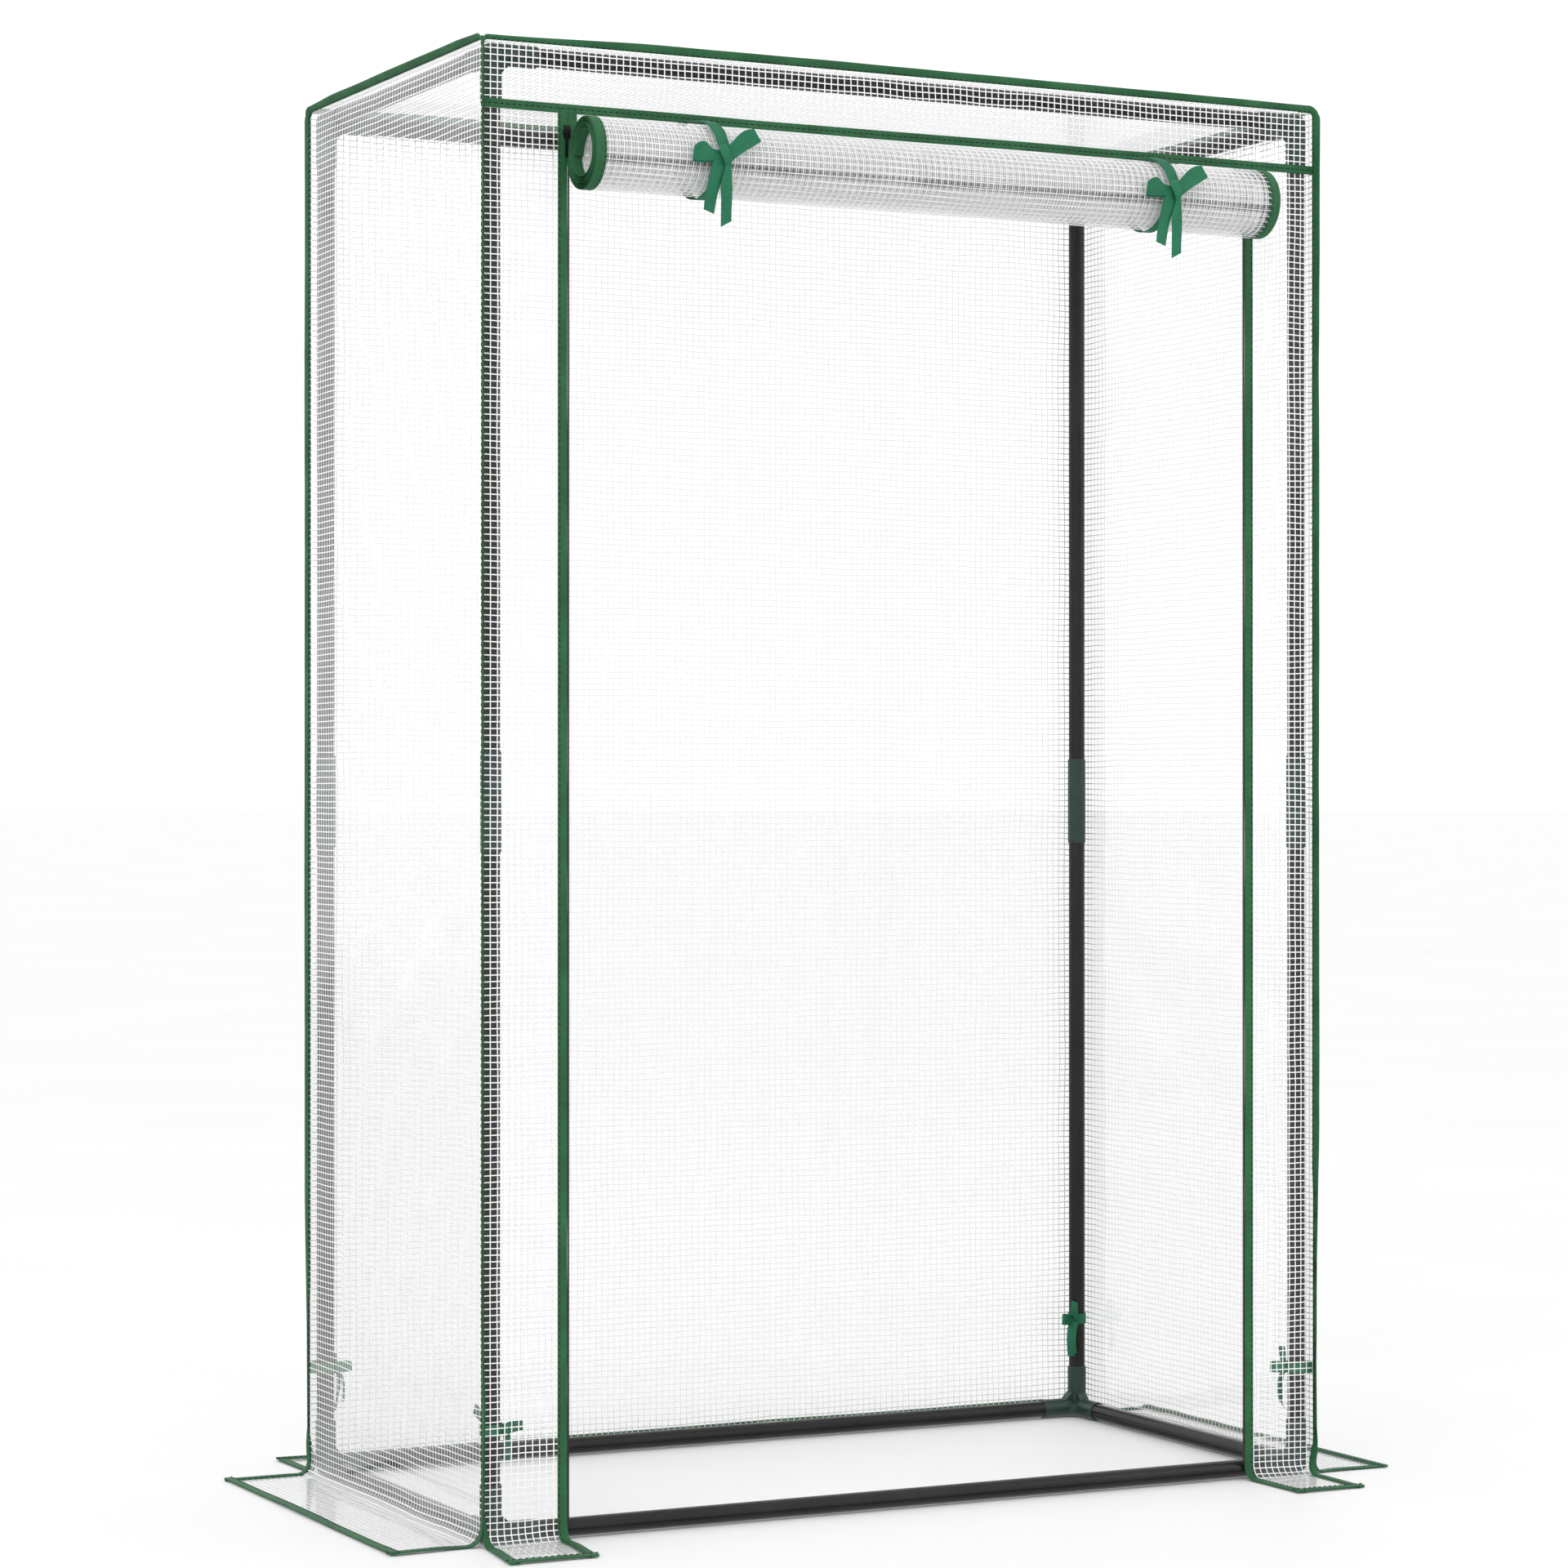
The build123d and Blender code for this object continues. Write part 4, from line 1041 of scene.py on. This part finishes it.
def door_bow(name, xc, cad):
    """The door's tie: a band from the seam over the roll, a bow in front, and the band back under the roll."""
    b = Builder()
    o = np.array([xc / MM, 0, RZ / MM])
    S = lambda pts: np.asarray(pts, float) + o
    # band over the front of the roll
    two_edge(b, S([(-13.5, -251.6, 44.6), (-11.0, -262.0, 43.6), (-9.5, -282.0, 41.6), (-7.6, -301.0, 37.0), (-6.6, -311.2, 31.2), (-5.9, -318.2, 25.1), (-4.9, -322.4, 19.6), (-4.1, -325.4, 13.5), (-2.7, -327.6, 7.0)]),
             S([(0.5, -251.6, 44.6), (2.4, -262.0, 43.8), (5.0, -282.0, 41.9), (7.0, -299.5, 37.4), (7.7, -308.6, 33.0), (8.1, -316.4, 27.5), (8.3, -320.8, 22.0), (8.3, -324.4, 16.0), (8.6, -327.2, 9.5)]), n=40)
    # band under and behind the roll, up to the seam
    ring = []
    for deg in (184, 200, 222, 245, 270, 295, 318, 340, 356):
        a = math.radians(deg)
        r = (R_OUT + 0.0009) / MM
        ring.append((RY / MM + r * math.cos(a), RZ / MM + r * math.sin(a)))
    ring += [(-247.15, RZ / MM + 12), (-247.0, RZ / MM + 34), (-247.6, VAL_Z / MM + 1)]
    drift = np.concatenate([np.linspace(0, -8.5, 6), np.linspace(-8.5, -7, 6)])
    two_edge(b, [(xc / MM - 4.5 + dx, y, z) for dx, (y, z) in zip(drift, ring)], [(xc / MM + 6.5 + dx, y, z) for dx, (y, z) in zip(drift, ring)], n=60)
    # left loop, right loop
    fold_loop(b, S([(2.5, -329.8, 4.0), (-3.5, -330.0, 4.9), (-11.1, -331.0, 5.8), (-15.3, -331.6, 8.4), (-18.7, -332.0, 11.4), (-22.0, -332.2, 12.6), (-27.1, -331.8, 11.6), (-30.6, -331.0, 8.8)]),
              S([(3.0, -329.8, -4.0), (-1.8, -330.0, -4.7), (-10.3, -331.0, -6.0), (-14.5, -331.6, -6.4), (-18.5, -332.0, -6.8), (-23.5, -332.2, -7.0), (-28.5, -331.8, -7.2), (-32.4, -331.0, -6.4)]), 2.2, -1.6)
    fold_loop(b, S([(0.5, -330.0, 4.0), (4.3, -331.0, 8.2), (11.1, -332.5, 15.8), (17.8, -333.2, 22.8), (24.6, -333.4, 26.8), (32.3, -333.0, 28.4)]),
              S([(3.0, -330.0, -6.5), (7.7, -331.0, -6.0), (16.1, -332.5, 0.3), (23.8, -333.2, 5.9), (33.1, -333.4, 11.6), (40.3, -333.0, 16.0)]), 2.4, -0.6)
    # tails: the left one lies behind the right one
    two_edge(b, S([(-6.0, -330.5, 1.0), (-9.7, -330.6, -3.5), (-11.4, -330.6, -7.9), (-13.9, -330.4, -15.2), (-16.5, -329.8, -26.1), (-18.2, -329.6, -35.6), (-20.7, -330.4, -46.5), (-21.9, -331.0, -55.5)]),
             S([(5.0, -330.5, 0.0), (2.9, -330.6, -5.5), (2.1, -330.6, -12.7), (-0.5, -330.4, -20.1), (-2.1, -329.8, -27.4), (-5.5, -329.6, -37.6), (-8.1, -330.4, -47.9), (-10.6, -331.0, -59.5)]))
    two_edge(b, S([(-0.5, -332.0, -2.0), (0.6, -332.4, -5.9), (1.0, -332.6, -11.6), (-1.7, -332.4, -21.9), (-3.7, -332.2, -31.3), (-3.0, -331.8, -42.0), (-3.0, -331.4, -56.4), (-3.4, -331.8, -72.2)]),
             S([(7.5, -332.0, -0.5), (7.7, -332.4, -4.7), (8.0, -332.6, -11.2), (8.7, -332.4, -21.2), (9.3, -332.2, -32.7), (9.1, -331.8, -44.9), (8.7, -331.4, -55.7), (8.4, -331.8, -65.8)]))
    # the knot, a diamond of ribbon folded over the middle
    two_edge(b, S([(-3.5, -328.6, 10.6), (-5.6, -332.6, 7.4), (-6.6, -334.9, 4.9), (-4.2, -336.0, -0.8), (-1.6, -335.4, -5.6), (0.6, -333.6, -9.6), (1.6, -330.6, -11.2)]),
             S([(3.5, -328.6, 12.0), (3.4, -332.6, 10.4), (3.2, -335.0, 8.4), (5.6, -336.2, 3.6), (7.2, -335.6, -1.0), (8.2, -333.8, -4.6), (8.6, -330.6, -7.6)]), thick=0.0011, n=30)
    ob = b.build(name, M_TIE, sharp=45)
    put(ob, "cover", [cad])
    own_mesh(ob)
    return ob


door_bow("door_bow_left", -0.268, "door_tie_left")
door_bow("door_bow_right", 0.2625, "door_tie_right")


VR = np.array([math.cos(math.radians(26.7)), -math.sin(math.radians(26.7))])
VD = np.array([math.sin(math.radians(26.7)), math.cos(math.radians(26.7))])


def post_bow(tag, sx, sy, zc, knot, near, far, loop, loop_back, second, tails, mirror_y=False):
    """Ribbon from the corner seam round a post, knotted on its inner side.

    Points are in millimetres: across, away from the front left viewpoint, and height above the ground."""
    my = -1 if mirror_y else 1
    x, y = sx * 0.4802, sy * 0.2359 * my
    b = Builder()

    def place(pts):
        pts = np.asarray(pts, float)
        xy = np.array([x, y]) / MM + pts[:, :1] * VR + pts[:, 1:2] * VD
        return np.concatenate([xy, pts[:, 2:]], 1)

    ring = lambda degs, dz: [(10.5 * math.cos(math.radians(a)), 10.5 * math.sin(math.radians(a)), zc + dz) for a in degs]
    seam = np.array([sx * (FX - 0.0006), sy * my * (FY - 0.0006)]) / MM - np.array([x, y]) / MM
    e = (float(seam @ VR), float(seam @ VD))
    kx, kd = knot
    for arc in (near, far):
        top = [(e[0], e[1], zc + 6.2)] + ring(arc, 6.0) + [(kx * 0.94, kd, zc + 4.2)]
        bot = [(e[0], e[1], zc - 6.2)] + ring(arc, -6.0) + [(kx * 0.94, kd, zc - 4.2)]
        two_edge(b, place(top), place(bot), n=36)
    # knot: one turn of ribbon round the middle
    k = 1 if kx > 0 else -1
    two_edge(b, place([(kx - 2.2 * k, kd + 3.6, zc + 5), (kx - 1.0 * k, kd - 2.6, zc + 6.4), (kx - 0.6 * k, kd - 4.4, zc + 1), (kx - 1.0 * k, kd - 3.2, zc - 5.6), (kx - 2.2 * k, kd + 3.0, zc - 5.6)]),
             place([(kx + 3.6 * k, kd + 3.6, zc + 4), (kx + 4.4 * k, kd - 1.8, zc + 5.2), (kx + 5.0 * k, kd - 3.4, zc), (kx + 4.4 * k, kd - 2.4, zc - 6.4), (kx + 3.2 * k, kd + 3.0, zc - 6.8)]), thick=0.0011, n=26)
    fold_loop(b, place(loop[0]), place(loop[1]), *loop_back)
    for pe, qe in second:
        two_edge(b, place(pe), place(qe), n=40)
    for pe, qe in tails:
        two_edge(b, place(pe), place(qe))
    ob = b.build("post_bow_" + tag, M_TIE, sharp=45)
    if mirror_y:
        co = np.zeros(len(ob.data.vertices) * 3, np.float32)
        ob.data.vertices.foreach_get("co", co)
        co = co.reshape(-1, 3)
        co[:, 1] *= -1
        ob.data.vertices.foreach_set("co", co.ravel())
        ob.data.flip_normals()
        ob.data.update()
    put(ob, "cover", ["post_tie_" + tag])
    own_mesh(ob)
    return ob


def edge_on(pts, back):
    """A hanging ribbon end seen along its width."""
    return pts, [(px + back[0], pd + back[1], pz + back[2]) for px, pd, pz in pts]


post_bow("bl", -1, 1, 118.0, (12.0, 0.5), (222, 250, 280, 310, 335), (110, 80, 50, 25),
         ([(10, -1.5, 121.5), (15, -3, 124.6), (20, -3.6, 126.0), (24.5, -3.6, 126.0), (28.0, -3.0, 125.2)],
          [(10, -1.5, 114.6), (15, -3, 113.6), (20, -3.6, 113.6), (24.5, -3.6, 114.0), (28.4, -3.0, 114.8)]), (4.0, -0.6),
         [([(10.5, 0, 120), (9.4, 0.5, 126), (8.8, 1.5, 131.5), (9.2, 3.2, 132.4), (10.0, 3.2, 127), (11.0, 2.4, 120)],
           [(11.5, 9, 118), (10.6, 11, 125), (9.8, 12, 131), (10.2, 13.2, 132), (10.8, 12.6, 126), (12.0, 10, 118)])],
         [edge_on([(11.5, -2, 116), (13.4, -3, 106), (13.2, -3, 94), (11.2, -3, 82), (9.4, -3, 70.5)], (1.5, 10.5, 1.0)),
          edge_on([(13.0, 0, 116), (17.0, 0, 106), (18.6, 0, 94), (17.8, 0, 80.5)], (1.2, 10.8, -1.0))])
FR_TIE = dict(zc=117.8, knot=(-12.4, -0.5), near=(290, 265, 240, 215, 196), far=(42, 75, 110, 145),
              loop=([(-9.5, -2, 121.4), (-15, -3.4, 123.4), (-19.5, -4, 124.2), (-23.5, -4, 124.4), (-26.4, -3.4, 124.0)],
                    [(-9.5, -2, 114.0), (-15, -3.4, 112.4), (-19.5, -4, 111.8), (-23.5, -4, 112.0), (-26.8, -3.4, 112.4)]), loop_back=(4.0, -0.5),
              second=[([(-11.0, -2, 119), (-11.6, -1.4, 127), (-11.8, -0.6, 135), (-12.8, 1.0, 140), (-13.8, 2.4, 138), (-13.2, 2.6, 128), (-12.2, 1.4, 119)],
                       [(-14.0, 7, 118), (-15.4, 8.6, 126), (-16.2, 10, 134), (-16.8, 11.4, 138.6), (-17.4, 12.4, 136.6), (-16.4, 12, 127), (-15.0, 9, 118)])],
              tails=[edge_on([(-12.6, -3, 115), (-14.6, -4, 104), (-15.8, -4, 91), (-13.6, -4, 72.5)], (-1.2, 10.6, 1.2)),
                     edge_on([(-13.4, 0, 115), (-17.2, 0, 104), (-18.2, 0, 92), (-16.2, 0, 78.5)], (-1.0, 10.8, -1.0))])
post_bow("fr", 1, -1, **FR_TIE)
post_bow("br", 1, 1, mirror_y=True, **FR_TIE)
post_bow("fl", -1, -1, 114.6, (14.2, -1.0), (303, 320, 338), (191, 160, 125, 90, 55, 25),
         ([(12, -1.5, 117.5), (16, 1.0, 120.6), (21, 3.2, 122.8), (26, 5.6, 124.0), (30.6, 7.6, 124.0)],
          [(12, -1.5, 110.0), (16, 1.0, 109.6), (21, 3.2, 111.2), (26, 5.6, 112.4), (31.0, 7.6, 113.0)]), (4.4, -0.8),
         [([(13, 2.5, 119), (9, 11, 121), (1, 15, 123), (-8, 15.5, 129), (-14.0, 14.0, 137.0), (-15.8, 16, 137.4), (-8, 18.4, 128), (1, 18, 122), (10, 14, 119), (14, 5, 117)],
           [(13, 2.5, 112), (9, 11, 110), (1, 15, 111.5), (-7, 15.5, 116), (-16.4, 14.0, 126.5), (-17.6, 16, 127), (-7, 18.4, 115), (1, 18, 110), (10, 14, 108), (14, 5, 110)])],
         [([(12.8, -3.0, 113), (13.4, -4.4, 104), (13.8, -4.6, 94), (14.0, -4.0, 84.5)], [(19.0, 5.0, 112), (19.6, 4.6, 103), (19.2, 4.8, 94), (18.8, 5.4, 82.5)]),
          edge_on([(14.0, 1.5, 113), (16.0, 1.5, 104), (16.4, 2.0, 96), (15.2, 2.5, 88.5)], (1.8, 10.2, -1.0))])

# ------------------------------------------------------------------ CAD pieces that keep their shape
for name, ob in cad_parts.items():
    if name.startswith(("post_lower", "post_upper", "rail_")):
        mat = M_TUBE
    elif name.startswith(("corner_", "post_coupler")):
        mat = M_CONN
    elif name.startswith(("zip_slider", "zip_pull")):
        mat = M_METAL
    else:
        continue
    ob.data.materials.clear()
    ob.data.materials.append(mat)
    for poly in ob.data.polygons:
        poly.use_smooth = True
    ob.data.set_sharp_from_angle(angle=math.radians(35))

# ------------------------------------------------------------------ sheets: an unused stub that does nothing
area = lambda w: None

# ------------------------------------------------------------------ stage and light
floor_m, nt, p = new_mat("pale_floor")
nz = noise_tex(nt, coords(nt), 1.3, 2.0)
nt.links.new(ramp(nt, nz, [(0.3, (0.865, 0.865, 0.865)), (0.7, (0.885, 0.885, 0.885))]), p.inputs["Base Color"])
p.inputs["Roughness"].default_value = 0.55
p.inputs["Specular IOR Level"].default_value = 0.3
me = bpy.data.meshes.new("floor")
S = 180
me.from_pydata([(-S, -S, 0), (S, -S, 0), (S, S, 0), (-S, S, 0)], [], [(0, 1, 2, 3)])
me.materials.append(floor_m)
floor = bpy.data.objects.new("floor", me)
bpy.context.scene.collection.objects.link(floor)

world = bpy.data.worlds.new("studio")
bpy.context.scene.world = world
world.use_nodes = True
wt = world.node_tree
bg = wt.nodes["Background"]
wc = wt.nodes.new("ShaderNodeTexCoord")
ws = wt.nodes.new("ShaderNodeSeparateXYZ")
wt.links.new(wc.outputs["Generated"], ws.inputs[0])
wm = wt.nodes.new("ShaderNodeMapRange")
wm.inputs["From Min"].default_value = -1.0
wm.inputs["From Max"].default_value = 1.0
wt.links.new(ws.outputs["Z"], wm.inputs["Value"])
wr = wt.nodes.new("ShaderNodeValToRGB")
el = wr.color_ramp.elements
stops = [(0.0, 0.70), (0.18, 0.66), (0.24, 0.20), (0.34, 0.20), (0.41, 0.58), (0.472, 0.68), (0.486, 1.0), (1.0, 1.0)]
el[0].position, el[0].color = stops[0][0], (stops[0][1],) * 3 + (1,)
el[1].position, el[1].color = stops[-1][0], (stops[-1][1],) * 3 + (1,)
for pos, v in stops[1:-1]:
    e = el.new(pos)
    e.color = (v, v, v, 1)
wt.links.new(wm.outputs[0], wr.inputs[0])
wt.links.new(wr.outputs[0], bg.inputs[0])
bg.inputs[1].default_value = 1.10
floor.visible_glossy = False


def area_light(name, loc, target, size, power, size_y=None):
    d = bpy.data.lights.new(name, "AREA")
    d.energy = power
    d.shape = "RECTANGLE"
    d.size = size
    d.size_y = size_y or size
    o = bpy.data.objects.new(name, d)
    o.location = loc
    o.rotation_euler = (Vector(target) - Vector(loc)).to_track_quat("-Z", "Y").to_euler()
    bpy.context.scene.collection.objects.link(o)
    return o


area_light("key", (-3.2, -3.0, 4.2), (0, 0, 0.6), 2.6, 40)
area_light("fill", (3.8, -3.2, 2.6), (0, 0, 0.8), 2.4, 14)

sc = bpy.context.scene
sc.view_settings.view_transform = "Standard"
sc.cycles.transparent_max_bounces = 64
sc.cycles.max_bounces = 12
